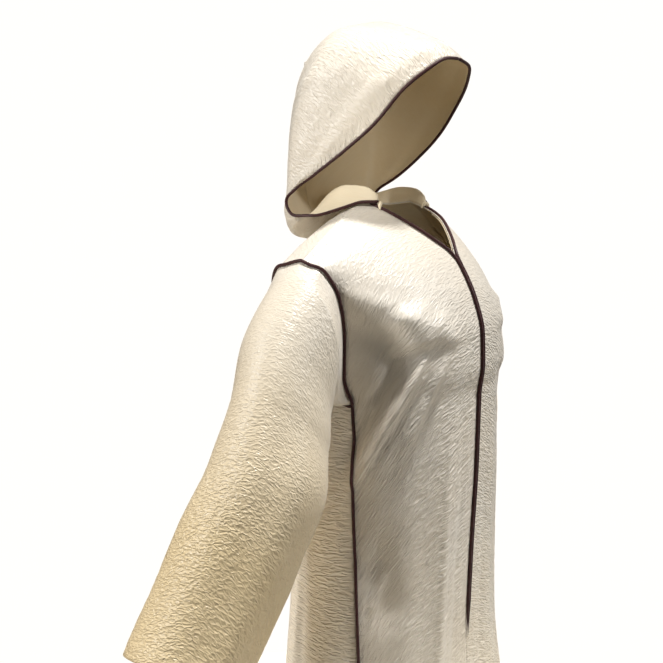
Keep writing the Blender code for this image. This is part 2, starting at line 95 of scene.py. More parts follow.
# %% The table of the body's rings
MM = 0.001
BODY_COLUMNS = ("level", "fall", "half", "front", "back", "power", "neck_f", "neck_b", "arm_f", "arm_b")
BODY_ROWS = (
    (29, 0.720, 252, 0, 0, 2.0, 78, 78, 0, 0),
    (18, 0.700, 250, 30, 30, 2.0, 78, 62, 14, 26),
    (-4, 0.600, 245, 62, 60, 2.1, 70, 0, 30, 46),
    (-47, 0.450, 237, 100, 84, 2.1, 35, 0, 42, 60),
    (-93, 0.300, 229, 133, 98, 2.2, 0, 0, 49, 66),
    (-150, 0.150, 222, 162, 106, 2.3, 0, 0, 51, 66),
    (-205, 0.050, 218, 177, 110, 2.3, 0, 0, 50, 60),
    (-258, 0.000, 217, 179, 112, 2.3, 0, 0, 49, 38),
    (-285, 0.000, 213, 176, 112, 2.3, 0, 0, 55, 0),
    (-300, 0.000, 211, 174, 110, 2.3, 0, 0, 63, -63),
    (-430, 0.000, 212, 172, 99, 2.3, 0, 0, 66, -66),
    (-580, 0.000, 215, 166, 93, 2.3, 0, 0, 73, -73),
    (-740, 0.000, 221, 163, 98, 2.3, 0, 0, 84, -84),
    (-1000, 0.000, 252, 188, 134, 2.3, 0, 0, 100, -100),
    (-1420, 0.000, 305, 240, 196, 2.3, 0, 0, 130, -130),
)
LAST_ROW = len(BODY_ROWS) - 1

# %% [markdown]
# ## The folds
#
# Cloth that hangs from the bust and the shoulders falls in long folds. Each one is a soft bump
# that follows a straight line on the cloth and rises and dies away along it. Folds that reach the
# hem grow on their way down. The first table holds the large folds, which the CAD model has too.
# The second adds narrower, sharper ones that only the finer mesh here can carry: the ridges and
# hollows that fan out from the bust, and the long creases beside the front edge.

# %% Tables of the folds
GIRTH_PER_DEGREE = 3.8          # mm of cloth round the body for a degree of ring angle
FOLD_COLUMNS = ("from_angle", "from_z", "to_angle", "to_z", "width", "height")
LARGE_FOLDS = (
    (42, -130, 38, -225, 46, 10),
    (-42, -130, -38, -225, 46, 11),
    (58, -130, 46, -310, 40, -6),
    (-58, -130, -46, -310, 40, -6),
    (30, -200, 70, -460, 30, 7),
    (-30, -200, -70, -460, 30, 7),
    (18, -180, 21, -1420, 26, 10),
    (-18, -180, -20, -1420, 26, 9),
    (62, -480, 46, -680, 38, -10),
    (47, -620, 50, -1420, 34, -12),
    (-41, -160, -42, -1420, 46, 15),
    (-47, -560, -52, -1420, 30, -8),
    (-60, -620, -58, -1420, 32, -10),
    (62, -760, 64, -1420, 28, 12),
    (96, -330, 97, -1420, 28, -11),
    (113, -300, 114, -1420, 28, 8),
    (130, -380, 132, -1420, 30, -11),
    (150, -300, 150, -1420, 30, 8),
    (170, -420, 168, -1420, 32, -10),
    (-96, -360, -97, -1420, 28, -11),
    (-114, -320, -113, -1420, 28, 8),
    (-133, -400, -131, -1420, 30, -11),
    (-152, -340, -150, -1420, 30, 8),
)
FINE_FOLDS = (
    (31, -195, 76, -455, 7, 8.0),
    (43, -190, 82, -440, 17, -10.5),
    (60, -170, 84, -400, 34, -7.0),
    (29, -232, 60, -385, 9, -2.5),
    (20, -205, 50, -400, 9, 6.5),
    (27, -150, 19, -225, 24, 6.0),
    (72, -75, 23, -200, 24, 4.0),
    (80, -150, 38, -238, 34, -6.5),
    (-40, -150, -40, -225, 24, -2.5),
    (-39, -195, -40, -300, 26, 5.5),
    (20, -290, 21, -1420, 8, 5.0),
    (10, -235, 9, -1420, 8, -3.0),
    (-52, -300, -74, -430, 12, 3.0),
    (-10, -235, -10, -1420, 8, -2.0),
    (60, -640, 50, -560, 9, 3.5),
    (66, -505, 58, -545, 16, 3.5),
    (34, -700, 36, -1420, 12, 3.0),
    (-34, -640, -33, -1420, 12, 3.0),
    (104, -420, 105, -1420, 10, 3.0),
    (141, -480, 142, -1420, 10, 3.0),
    (-104, -460, -106, -1420, 10, 3.0),
    (-142, -440, -141, -1420, 10, 3.0),
)

# %% Add up the folds
HEM_LEVEL = -1400               # mm: a fold that ends below this runs out at the hem
FADE = 0.3                      # the share of its length over which a fold rises or dies away
WIDTH_TO_HEM = (0.8, 1.7)
HEIGHT_TO_HEM = (0.4, 1.5)


def fold_height(angle, z, folds):
    """How far the cloth stands out, in millimetres, with all of these folds."""
    total = np.zeros(np.broadcast(angle, z).shape)
    for values in folds:
        fold = dict(zip(FOLD_COLUMNS, values))
        start = np.array([fold["from_angle"] * GIRTH_PER_DEGREE, fold["from_z"]])
        run = np.array([fold["to_angle"] * GIRTH_PER_DEGREE, fold["to_z"]]) - start
        across, down = angle * GIRTH_PER_DEGREE - start[0], z - start[1]
        along = np.clip((across * run[0] + down * run[1]) / (run @ run), 0, 1)
        off = np.hypot(across - run[0] * along, down - run[1] * along)
        width, height = fold["width"], fold["height"]
        ease = np.minimum(1, along / FADE)
        if fold["to_z"] <= HEM_LEVEL:
            width = width * np.interp(along, (0, 1), WIDTH_TO_HEM)
            height = height * np.interp(along, (0, 1), HEIGHT_TO_HEM)
        else:
            ease = ease * np.minimum(1, (1 - along) / FADE)
        total = total + height * ease * ease * (3 - 2 * ease) * np.exp(-((off / width) ** 2))
    return total


# %% [markdown]
# ## From tables to points
#
# The helpers below read the tables. They work on whole arrays of points at once, which keeps a
# mesh of tens of thousands of points quick to make. The curve between the rows is a monotone one:
# a plain smooth curve would swing past the rows where the cloth turns suddenly, as at the armhole.

# %% Read the tables
def smooth_rows(rows, at):
    """The table's rows read at fractional row numbers, on a curve with no overshoot."""
    rows = np.array(rows, float)
    at = np.asarray(at, float).ravel()
    steps = np.diff(rows, axis=0)
    before, after = steps[:-1], steps[1:]
    inner = np.where(before * after > 0, 2 * before * after / (before + after + 1e-12), 0)
    slopes = np.vstack([steps[:1], inner, steps[-1:]])
    i = np.clip(np.floor(at).astype(int), 0, len(rows) - 2)
    t = (at - i)[:, None]
    return (
        rows[i] * (1 + 2 * t) * (1 - t) ** 2
        + rows[i + 1] * t * t * (3 - 2 * t)
        + slopes[i] * t * (1 - t) ** 2
        - slopes[i + 1] * t * t * (1 - t)
    )


FLAT_RING = 0.5                 # mm: a ring shallower than this is only a line from side to side


def depth_share(edge, depth):
    """How far forward or back an edge lies, as a share of its ring's depth."""
    return edge / np.maximum(depth, FLAT_RING) * (depth > FLAT_RING)


def body_rings(number):
    """The body's rings at these row numbers: an array for each column of the table."""
    number = np.asarray(number, float)
    values = smooth_rows(BODY_ROWS, number)
    ring = {name: values[:, i].reshape(number.shape) for i, name in enumerate(BODY_COLUMNS)}
    power = ring["power"]
    before = depth_share(ring["arm_f"], ring["front"])
    behind = depth_share(np.maximum(0, ring["arm_b"]), ring["back"])
    ring["ring_f"] = ring["half"] / (1 - before**power) ** (1 / power)
    ring["ring_b"] = np.maximum(ring["ring_f"], ring["half"] / (1 - behind**power) ** (1 / power))
    return ring


# %% Points of the body's cloth
SHOULDER_FALL = 1.35            # how the fall grows with the distance from the middle, in metres
FOLD_FORWARD = 1.2              # folds stand out a little more to the front than to the side


def body_points(angle, number):
    """Points of the body's cloth: ring angles in degrees, 0 at the centre front, 180 at the
    centre back and positive to the wearer's right, on the rings of these row numbers."""
    angle, number = np.broadcast_arrays(np.asarray(angle, float), np.asarray(number, float))
    ring = body_rings(number)
    turn = np.radians(np.abs(angle))
    side = np.where(angle > 0, -1, 1)
    in_front = np.abs(angle) <= 90
    half = np.where(in_front, ring["ring_f"], ring["ring_b"])
    depth = np.where(in_front, ring["front"], ring["back"])
    sine, cosine = np.abs(np.sin(turn)), np.cos(turn)
    across = half * sine ** (2 / ring["power"])
    forward = -depth * np.sign(cosine) * np.abs(cosine) ** (2 / ring["power"])
    level = ring["level"] - 1000 * ring["fall"] * (across / 1000) ** SHOULDER_FALL
    out = np.stack([side * sine, -cosine * FOLD_FORWARD, np.zeros_like(sine)], axis=-1)
    out /= np.linalg.norm(out, axis=-1, keepdims=True)
    height = fold_height(angle, ring["level"], LARGE_FOLDS) + fold_height(angle, ring["level"], FINE_FOLDS)
    points = np.stack([side * across, forward, level], axis=-1)
    return (points + out * height[..., None]) * MM


def ring_angle(share, power):
    """The ring angle at this share of a ring's half width."""
    return np.degrees(np.arcsin(np.clip(share, 0, 1) ** (power / 2)))


def depth_angle(share, power):
    """The ring angle at this share of a ring's depth."""
    return np.degrees(np.arccos(np.clip(share, 0, 1) ** (power / 2)))


def edge_angles(number, panel):
    """The ring angles of a panel's inner and outer edge on these rows."""
    ring = body_rings(number)
    power = ring["power"]
    if panel == "front":
        outer = depth_angle(depth_share(ring["arm_f"], ring["front"]), power)
        return ring_angle(ring["neck_f"] / ring["ring_f"], power), outer
    behind_arm = 180 - depth_angle(depth_share(np.maximum(0, ring["arm_b"]), ring["back"]), power)
    below_arm = depth_angle(depth_share(-ring["arm_b"], ring["front"]), power)
    outer = np.where(ring["arm_b"] >= 0, behind_arm, below_arm)
    return 180 - ring_angle(ring["neck_b"] / ring["ring_b"], power), outer


ANGLE_STEP, ROW_STEP = 0.5, 0.05


def body_normals(angle, number):
    """The directions out of the body's cloth at these points."""
    across = body_points(angle + ANGLE_STEP, number) - body_points(angle - ANGLE_STEP, number)
    down = body_points(angle, number + ROW_STEP) - body_points(angle, number - ROW_STEP)
    normal = np.cross(across, down)
    return normal / np.linalg.norm(normal, axis=-1, keepdims=True)


# %% Even steps along the cloth
FINE_STEPS = 600
SPACED_AT = 50.0                # the ring angle down which the rows are spaced evenly


def resample(points, count):
    """The same line with its points evenly spaced along it."""
    points = np.array(points, float)
    steps = np.linalg.norm(np.diff(points[:, :3], axis=0), axis=1)
    lengths = np.concatenate([[0], np.cumsum(steps)])
    wanted = np.linspace(0, lengths[-1], count)
    return np.column_stack([np.interp(wanted, lengths, column) for column in points.T])


def even_rows(count):
    """Row numbers that lie evenly down the body's cloth."""
    fine = np.linspace(0, LAST_ROW, FINE_STEPS)
    line = body_points(np.full(FINE_STEPS, SPACED_AT), fine)
    return resample(np.column_stack([line, fine]), count)[:, 3]


# %% [markdown]
# ## The crash finish
#
# The wrinkles of a crash finish are short, sharp and never the same twice, and they lie more or
# less side by side. Gradient noise gives smooth random waves; where such a wave crosses zero, one
# minus its size makes a sharp little ridge. Stretching the noise along one direction turns round
# bumps into long wrinkles, and a second, slower wave bends them. The random lattice comes from a
# fixed seed, so that the cloth is the same each time. The larger wrinkles are real geometry, and
# the finest are left to the material's bump, because a mesh that fine would be too heavy to use.

# %% Random wrinkles from a fixed seed
LATTICE_SIZE = 256
LAYER_STEPS = (37, 91)          # how far apart the layers of waves lie on the lattice
FULL_WAVE = 1.6                 # brings the waves to about the range from -1 to 1
LATTICE = np.random.default_rng(11).uniform(-1, 1, (LATTICE_SIZE, LATTICE_SIZE, 2))


def waves(u, v, layer=0):
    """Smooth random waves of about one unit, from -1 to 1."""
    cell_u, cell_v = np.floor(u).astype(int), np.floor(v).astype(int)
    part_u, part_v = u - cell_u, v - cell_v
    blend_u = part_u**3 * (part_u * (part_u * 6 - 15) + 10)
    blend_v = part_v**3 * (part_v * (part_v * 6 - 15) + 10)
    total = 0
    for step_u, share_u in ((0, 1 - blend_u), (1, blend_u)):
        for step_v, share_v in ((0, 1 - blend_v), (1, blend_v)):
            slope = LATTICE[(cell_u + step_u + LAYER_STEPS[0] * layer) % LATTICE_SIZE,
                            (cell_v + step_v + LAYER_STEPS[1] * layer) % LATTICE_SIZE]
            height = slope[..., 0] * (part_u - step_u) + slope[..., 1] * (part_v - step_v)
            total = total + height * share_u * share_v
    return total * FULL_WAVE


# %% Wrinkles and the hem's step
WRINKLES = ((0.034, 0.0100, 0.6), (0.020, 0.0062, 0.4))    # length, width, share of the height
BEND, BEND_LENGTH, BEND_WIDTH = 1.1, 0.045, 0.030          # the slow curves that they follow
BEND_ALONG = 0.5
RIDGE, SHARPNESS = 0.5, 2.4


def crinkle(along, across, layer):
    """The height of the wrinkles, from about -1 to 1. They lie along the first direction."""
    bend = BEND * waves(along / BEND_LENGTH, across / BEND_WIDTH, layer + 5)
    total = 0
    for size, (length, width, share) in enumerate(WRINKLES):
        wave = waves(along / length + BEND_ALONG * bend, across / width + bend, layer + size)
        total = total + share * (wave + RIDGE * (1 - SHARPNESS * np.abs(wave)))
    return total


def sway(across, down, size, layer):
    """A slow drift over the cloth. size is how large it gets, then its width and its length."""
    height, width, length = size
    return height * waves(across / width, down / length, layer)


EDGE_FADE = 12 * MM             # wrinkles are pressed flat in the seams
HEM_DEPTH, HEM_SOFTNESS, HEM_STEP = 19 * MM, 5 * MM, 0.45 * MM


def near_edge_fade(distance, width=EDGE_FADE):
    """0 at an edge, 1 from this far inside it."""
    share = np.clip(distance / width, 0, 1)
    return share * share * (3 - 2 * share)


def hem_height(to_edge):
    """The small step of the hem, where the cloth is doubled below its line of stitches."""
    return HEM_STEP * (1 - near_edge_fade(to_edge - HEM_DEPTH, HEM_SOFTNESS))


# %% [markdown]
# ## A sheet of cloth as a closed shell
#
# A sheet could be a bare surface with the Solidify modifier, but then the wrinkles of the outer
# face would show on the smooth inner face as well. So the shell is made by hand: the outer face is
# the surface moved out by half the wall and by the wrinkles, the inner face is the surface moved
# in, and a strip of quadrilaterals joins them round the edge. Two sets of UV coordinates go with
# it, both in metres: "cut" is the flat piece on the cutter's table, and "crinkle" is the same with
# the slant that the wrinkles have.

# %% Faces and normals of a grid
def grid_quads(rows, columns, around=False):
    """The quadrilaterals between a grid's points, and each corner's row and column."""
    span = columns if around else columns - 1
    r, c = np.meshgrid(np.arange(rows - 1), np.arange(span), indexing="ij")
    corner_rows = np.stack([r, r, r + 1, r + 1], axis=-1).reshape(-1, 4)
    corner_columns = np.stack([c, c + 1, c + 1, c], axis=-1).reshape(-1, 4)
    return corner_rows * columns + corner_columns % columns, corner_rows, corner_columns


def face_crosses(points, quads):
    """The cross product of each face's diagonals: its direction, and twice its area as length."""
    return np.cross(points[quads[:, 2]] - points[quads[:, 0]], points[quads[:, 3]] - points[quads[:, 1]])


def point_normals(points, quads):
    """Directions out of a mesh at its points, from the faces round each."""
    face = face_crosses(points, quads)
    normals = np.zeros_like(points)
    for corner in range(4):
        np.add.at(normals, quads[:, corner], face)
    return normals / np.maximum(np.linalg.norm(normals, axis=1, keepdims=True), 1e-12)


def rim_edges(quads):
    """The edges that only one face has, in that face's direction."""
    edges = np.concatenate([np.stack([quads[:, k], quads[:, (k + 1) % 4]], axis=1) for k in range(4)])
    faces = np.arange(len(quads))
    owner = np.concatenate([np.stack([faces, np.full(len(quads), k)], axis=1) for k in range(4)])
    _, first, count = np.unique(np.sort(edges, axis=1), axis=0, return_index=True, return_counts=True)
    alone = first[count == 1]
    return edges[alone], owner[alone]


# %% Build a shell
CLOTH = 1.8 * MM                # the wall: satin, seam allowances and lining in one


def shell(name, points, quads, maps, relief, finishes, outward=1):
    """A closed sheet of cloth. maps holds the UV coordinates of each face corner by name."""
    if outward < 0:
        quads = quads[:, ::-1]
        maps = {key: corners[:, ::-1] for key, corners in maps.items()}
    normals = point_normals(points, quads)
    outer = points + normals * (CLOTH / 2 + relief[:, None])
    inner = points - normals * (CLOTH / 2)
    count = len(points)
    edges, owner = rim_edges(quads)
    rim = np.stack([edges[:, 1], edges[:, 0], edges[:, 0] + count, edges[:, 1] + count], axis=1)
    faces = np.concatenate([quads, quads[:, ::-1] + count, rim])
    mesh = bpy.data.meshes.new(name)
    mesh.from_pydata(np.concatenate([outer, inner]).tolist(), [], faces.tolist())
    for key, corners in maps.items():
        start = corners[owner[:, 0], owner[:, 1]]
        end = corners[owner[:, 0], (owner[:, 1] + 1) % 4]
        rim_map = np.stack([end, start, start, end], axis=1)
        layer = mesh.uv_layers.new(name=key)
        layer.uv.foreach_set("vector", np.concatenate([corners, corners[:, ::-1], rim_map]).ravel())
    for finish in finishes:
        mesh.materials.append(finish)
    side = np.zeros(len(faces), dtype=np.int32)
    side[len(quads):2 * len(quads)] = len(finishes) - 1
    mesh.polygons.foreach_set("material_index", side)
    mesh.shade_smooth()
    obj = bpy.data.objects.new(name, mesh)
    bpy.context.scene.collection.objects.link(obj)
    return obj


# %% Measure the cloth
def lengths_along(grid, axis):
    """How far along the cloth each point of a grid lies, in that direction."""
    steps = np.linalg.norm(np.diff(grid, axis=axis), axis=2)
    start = np.zeros_like(np.take(steps, [0], axis=axis))
    return np.concatenate([start, np.cumsum(steps, axis=axis)], axis=axis)


def flat_area(points, quads):
    return float(np.linalg.norm(face_crosses(points, quads), axis=1).sum() / 2)


# %% [markdown]
# ## The satin
#
# Satin is smooth and shiny along its threads, so the finish is a moderately glossy surface whose
# highlights are broken up by bumps of three kinds: the crash wrinkles, the rims of crushed cells
# between them, and the threads. The noise reads the "crinkle" coordinates, so that the wrinkles of
# the bump lie along those of the mesh. Towards the shoulders, where the cloth is pulled smooth, the
# bump grows calmer. The colour is a warm ivory that clouds shift a little at random. The valleys of
# the wrinkles are painted a little deeper, which is painted shade, and towards the hem and the cuffs
# a painted warm glow, standing in for light thrown back from the ground, turns it more golden. Sheen
# and shine that are the same all over are set on the shader itself.

# %% Helpers for materials
def new_material(name):
    made = bpy.data.materials.new(name)
    made.use_nodes = True
    return made, made.node_tree, made.node_tree.nodes["Principled BSDF"]


def add_node(tree, kind, inputs=(), **settings):
    """A node with its settings, and its inputs set to values or linked to other nodes' outputs."""
    made = tree.nodes.new(kind)
    for key, value in settings.items():
        setattr(made, key, value)
    for key, value in dict(inputs).items():
        if isinstance(value, bpy.types.NodeSocket):
            tree.links.new(value, made.inputs[key])
        else:
            made.inputs[key].default_value = value
    return made


def stretched_noise(tree, coordinates, scale, detail, distortion=0.0):
    """Noise with its own scale along the cloth, across it and in depth."""
    mapping = add_node(tree, "ShaderNodeMapping", {"Vector": coordinates, "Scale": scale})
    noise = add_node(tree, "ShaderNodeTexNoise", {
        "Vector": mapping.outputs["Vector"], "Scale": 1.0, "Detail": detail,
        "Distortion": distortion})
    return noise.outputs["Fac"]


def add_math(tree, operation, first, second=0.0):
    made = tree.nodes.new("ShaderNodeMath")
    made.operation = operation
    for socket, value in zip(made.inputs, (first, second)):
        if isinstance(value, bpy.types.NodeSocket):
            tree.links.new(value, socket)
        else:
            socket.default_value = value
    return made.outputs[0]


def sharp_ridges(tree, noise):
    """Ridges where the noise crosses its middle value."""
    off = add_math(tree, "ABSOLUTE", add_math(tree, "SUBTRACT", noise, 0.5))
    return add_math(tree, "SUBTRACT", 1.0, add_math(tree, "MULTIPLY", off, 4.0))


def faded(tree, value, start, end, first, last, **settings):
    """A number that goes from first to last while the value goes from start to end."""
    made = add_node(tree, "ShaderNodeMapRange", {
        "Value": value, "From Min": start, "From Max": end, "To Min": first, "To Max": last}, **settings)
    return made.outputs["Result"]


# %% Ridges for the bump
CELL_BEND, CELL_WARP, CELL_RIM = 0.8, 1.4, 0.34
THREADS = (260, 2400, 1)        # noise cells per metre along the cloth, across it and in depth
GATHERS = (22, 290, 1)
GATHER_BAND = (0.006, 0.022)    # m from the hood's edge: full gathers up to here, none from here
CREASE_SHARE, GATHER_SHARE = 0.25, 0.5
CALM_BAND, CALM_TOP = (-0.38, -0.20), 0.4      # m down the cloth, and what is left of the bump above


def crushed_cells(tree, coordinates, scale):
    """Ridges round long uneven cells, as in cloth that was crushed while it was wet."""
    mapping = add_node(tree, "ShaderNodeMapping", {"Vector": coordinates, "Scale": scale})
    bend = add_node(tree, "ShaderNodeTexNoise", {
        "Vector": mapping.outputs["Vector"], "Scale": CELL_BEND, "Detail": 2.0})
    bent = add_node(tree, "ShaderNodeVectorMath", {
        0: bend.outputs["Color"], 1: (CELL_WARP, CELL_WARP, 0), 2: mapping.outputs["Vector"]},
                    operation="MULTIPLY_ADD")
    cells = add_node(tree, "ShaderNodeTexVoronoi", {"Vector": bent.outputs["Vector"], "Scale": 1.0},
                     voronoi_dimensions="2D", feature="DISTANCE_TO_EDGE")
    return faded(tree, cells.outputs["Distance"], 0.0, CELL_RIM, 1.0, 0.0, interpolation_type="SMOOTHSTEP")


def satin_relief(tree, wrinkles, wrinkled, cut, grain, gathered):
    """The height that the bump reads: wrinkles and creases, gathered at the edge or calm above."""
    place = add_node(tree, "ShaderNodeSeparateXYZ", {"Vector": cut})
    creases = crushed_cells(tree, wrinkled, (*grain, 1))
    height = add_math(tree, "ADD", wrinkles, add_math(tree, "MULTIPLY", creases, CREASE_SHARE))
    if not gathered:
        return add_math(tree, "MULTIPLY", height, faded(tree, place.outputs["Y"], *CALM_BAND, 1.0, CALM_TOP))
    near_edge = faded(tree, place.outputs["X"], *GATHER_BAND, 1.0, 0.0)
    gathers = sharp_ridges(tree, stretched_noise(tree, cut, GATHERS, detail=0.0))
    gathers = add_math(tree, "MULTIPLY", gathers, near_edge)
    return add_math(tree, "ADD", height, add_math(tree, "MULTIPLY", gathers, GATHER_SHARE))


# %% The satin's colour
CLOUDS = (5, 4, 1)
# The clouds are the cloth's own uneven tone; the wrinkles' valleys are painted deeper, which is painted
# shade.
CLOUD_TINT, WRINKLE_PAINTED_SHADE = 0.75, -0.30
LIGHT_END, DEEP_END = 0.02, 0.48
# Painted warm glow: the colour of light thrown back from the ground, mixed in towards the hem and the cuffs.
PAINTED_GROUND_GLOW = (0.72, 0.565, 0.325)


def satin_colour(tree, clouds, wrinkles, light, deep):
    # Random clouds of tone, plus painted shade in the valleys of the wrinkles.
    clouds_and_painted_shade = add_math(tree, "ADD", add_math(tree, "MULTIPLY", clouds, CLOUD_TINT),
                    add_math(tree, "MULTIPLY", wrinkles, WRINKLE_PAINTED_SHADE))
    ramp = add_node(tree, "ShaderNodeValToRGB", {"Fac": clouds_and_painted_shade})
    for stop, place, colour in zip(ramp.color_ramp.elements, (LIGHT_END, DEEP_END), (light, deep)):
        stop.position = place
        stop.color = (*colour, 1)
    return ramp.outputs["Color"]


def paint_ground_glow(tree, cut, colour, ground_glow):
    """The colour mixed with a painted warm glow down the cloth, which stands in for light thrown back from
    the ground: the argument after the colour says where it starts and ends, and how much.
    """
    start, end, most = ground_glow
    length = add_node(tree, "ShaderNodeSeparateXYZ", {"Vector": cut}).outputs["Y"]
    blend = add_node(tree, "ShaderNodeMix", data_type="RGBA")
    tree.links.new(faded(tree, length, end, start, most, 0.0), blend.inputs[0])
    tree.links.new(colour, blend.inputs[6])
    blend.inputs[7].default_value = (*PAINTED_GROUND_GLOW, 1)
    return blend.outputs[2]


# %% Ivory satin with the crash finish
WRINKLE_WARP = 0.8
THREAD_HEIGHT = 0.12 * MM
SMOOTHEST, CLOUD_GLOSS = 0.29, 0.16


def crinkled_satin(name, light, deep, depth, grain=(48, 172), gathered=False, ground_glow=None, shine=0.6):
    """Satin with wrinkles this deep, and this many along and across a metre of cloth."""
    made, tree, shader = new_material(name)
    wrinkled = add_node(tree, "ShaderNodeUVMap", uv_map="crinkle").outputs["UV"]
    cut = add_node(tree, "ShaderNodeUVMap", uv_map="cut").outputs["UV"]
    wrinkles = stretched_noise(tree, wrinkled, (*grain, 1), detail=2.0, distortion=WRINKLE_WARP)
    threads = stretched_noise(tree, cut, THREADS, detail=0.0)
    clouds = stretched_noise(tree, cut, CLOUDS, detail=3.0)

    height = satin_relief(tree, wrinkles, wrinkled, cut, grain, gathered)
    soft = add_node(tree, "ShaderNodeBump", {"Strength": 1.0, "Distance": depth, "Height": height})
    woven = add_node(tree, "ShaderNodeBump", {
        "Strength": 0.25, "Distance": THREAD_HEIGHT, "Height": threads, "Normal": soft.outputs["Normal"]})
    tree.links.new(woven.outputs["Normal"], shader.inputs["Normal"])

    colour = satin_colour(tree, clouds, wrinkles, light, deep)
    # Painted warm glow of light from the ground, growing towards the hem or the cuff.
    if ground_glow:
        colour = paint_ground_glow(tree, cut, colour, ground_glow)
    tree.links.new(colour, shader.inputs["Base Color"])
    gloss = add_math(tree, "ADD", SMOOTHEST, add_math(tree, "MULTIPLY", clouds, CLOUD_GLOSS))
    tree.links.new(gloss, shader.inputs["Roughness"])
    shader.inputs["Sheen Weight"].default_value = 0.12
    shader.inputs["Sheen Roughness"].default_value = 0.35
    shader.inputs["Specular IOR Level"].default_value = shine
    return made


# %% The finishes of body, sleeves, hood and lining
SATIN = ((0.87, 0.81, 0.71), (0.80, 0.71, 0.58))       # where it is lightest, where it is deepest
LINING = ((0.90, 0.79, 0.59), (0.84, 0.70, 0.47))

# The body and the sleeves get a painted warm glow of light from the ground, down to the hem and the cuffs.
satin = crinkled_satin("crinkled_satin", *SATIN, 3.2 * MM, ground_glow=(-0.60, -1.40, 0.5))
sleeve_satin = crinkled_satin("sleeve_satin", *SATIN, 2.5 * MM, grain=(98, 185), ground_glow=(0.0, -0.42, 0.95))
hood_satin = crinkled_satin("hood_satin", *SATIN, 2.2 * MM, grain=(46, 175), gathered=True)
lining = crinkled_satin("smooth_lining", *LINING, 0.4 * MM, shine=0.15)

# %% [markdown]
# The piping is a cord wrapped in a strip of dark brown satin, cut on the bias so that it bends.
# On a bias strip the threads run slantwise round the cord, which shows as fine slanted lines in
# its gloss, and the strip creases slightly where the seam holds it. The hollows of these creases
# are painted darker, which is painted shade.

# %% Dark satin of the piping
BIAS = math.radians(45)
BIAS_THREADS = (300, 2600, 1)
BIAS_CREASES = (180, 70, 1)
PIPING_PAINTED_SHADE, PIPING_LIGHT = (0.026, 0.008, 0.008), (0.085, 0.030, 0.030)
CORD_SMOOTHEST, CREASE_GLOSS = 0.30, 0.18


def piping_satin():
    made, tree, shader = new_material("piping_satin")
    around = add_node(tree, "ShaderNodeUVMap", uv_map="cut").outputs["UV"]
    slanted = add_node(tree, "ShaderNodeMapping", {"Vector": around, "Rotation": (0, 0, BIAS)})
    threads = stretched_noise(tree, slanted.outputs["Vector"], BIAS_THREADS, detail=1.0)
    creases = stretched_noise(tree, around, BIAS_CREASES, detail=2.0, distortion=0.3)
    creased = add_node(tree, "ShaderNodeBump", {"Strength": 0.8, "Distance": 0.4 * MM, "Height": creases})
    woven = add_node(tree, "ShaderNodeBump", {
        "Strength": 0.4, "Distance": THREAD_HEIGHT, "Height": threads, "Normal": creased.outputs["Normal"]})
    tree.links.new(woven.outputs["Normal"], shader.inputs["Normal"])
    # Painted shade: the cord's colour is darker where its creases are low.
    ramp = add_node(tree, "ShaderNodeValToRGB", {"Fac": creases})
    ramp.color_ramp.elements[0].color = (*PIPING_PAINTED_SHADE, 1)
    ramp.color_ramp.elements[1].color = (*PIPING_LIGHT, 1)
    tree.links.new(ramp.outputs["Color"], shader.inputs["Base Color"])
    gloss = add_math(tree, "ADD", CORD_SMOOTHEST, add_math(tree, "MULTIPLY", creases, CREASE_GLOSS))
    tree.links.new(gloss, shader.inputs["Roughness"])
    shader.inputs["Specular IOR Level"].default_value = 0.22
    shader.inputs["Sheen Weight"].default_value = 0.1
    return made


piping_finish = piping_satin()
print("finishes", [m.name for m in (satin, sleeve_satin, hood_satin, lining, piping_finish)])

# %% [markdown]
# ## The fronts and the back
#
# Each front is one piece from the shoulder to the hem, bounded by the neck and front edge on one
# side and by the armhole and side seam on the other. The wrinkles of the cloth follow the pull of
# the bust: they climb towards the front edge over the waist, and lie flatter further down. This is
# done by slanting the coordinates that the wrinkle function reads.

# %% Make a sheet and keep it
RIGHT, LEFT = 1, -1
CRINKLE_HEIGHT = 0.60 * MM
# Each sheet reads a layer of the waves of its own, so that no two are wrinkled alike.
WRINKLE_LAYERS = {"front_right": 1, "front_left": 3, "back": 5, "sleeve_right": 11, "sleeve_left": 13,
                  "hood_right": 15, "hood_left": 19}
pieces, grids = {}, {}


def panel_maps(across, down, slanted, corner_rows, corner_columns):
    """The UV coordinates of a grid's face corners."""
    def corners(u, v):
        return np.stack([u[corner_rows, corner_columns], v[corner_rows, corner_columns]], axis=-1)
    return {"cut": corners(across, -down), "crinkle": corners(across, -slanted)}


def make_sheet(node, name, points, faces, lengths, slanted, height, finishes, outward=1):
    """A shell that stands for this node, from its points, its faces and the lengths along them."""
    quads, corner_rows, corner_columns = faces
    across, down = lengths
    maps = panel_maps(across, down, slanted, corner_rows, corner_columns)
    pieces[node] = shell(name, points, quads, maps, height.ravel(), finishes, outward)
    print(name, "area", round(flat_area(points, quads), 4), "width", round(float(across[:, -1].max()), 3),
          "length", round(float(down[-1].max()), 3))


# %% Make the fronts
FRONT_ROWS, FRONT_COLUMNS = 400, 96
SLANT_LEVELS = (-1.42, -0.80, -0.60, -0.42, -0.20, 0.05)
SLANT = (0.06, 0.12, 0.20, 0.28, 0.12, -0.08)      # rise of the wrinkles towards the front edge
WAIST = 0.48                    # m down the cloth: above it, the arm pulls a strip beside the armhole smooth
PULLED_WIDTH, PULLED = 0.10, 0.3        # the strip's width, and what is left of the wrinkles at its edge
TOP_BAND, TOP_HEIGHT = (0.12, 0.35), (0.7, 1.4)     # down the shoulder, the wrinkles grow higher


def front_grid(side):
    numbers = even_rows(FRONT_ROWS)
    inner, outer = edge_angles(numbers, "front")
    share = np.linspace(0, 1, FRONT_COLUMNS)
    angles = inner[:, None] + (outer - inner)[:, None] * share
    return body_points(side * angles, numbers[:, None])


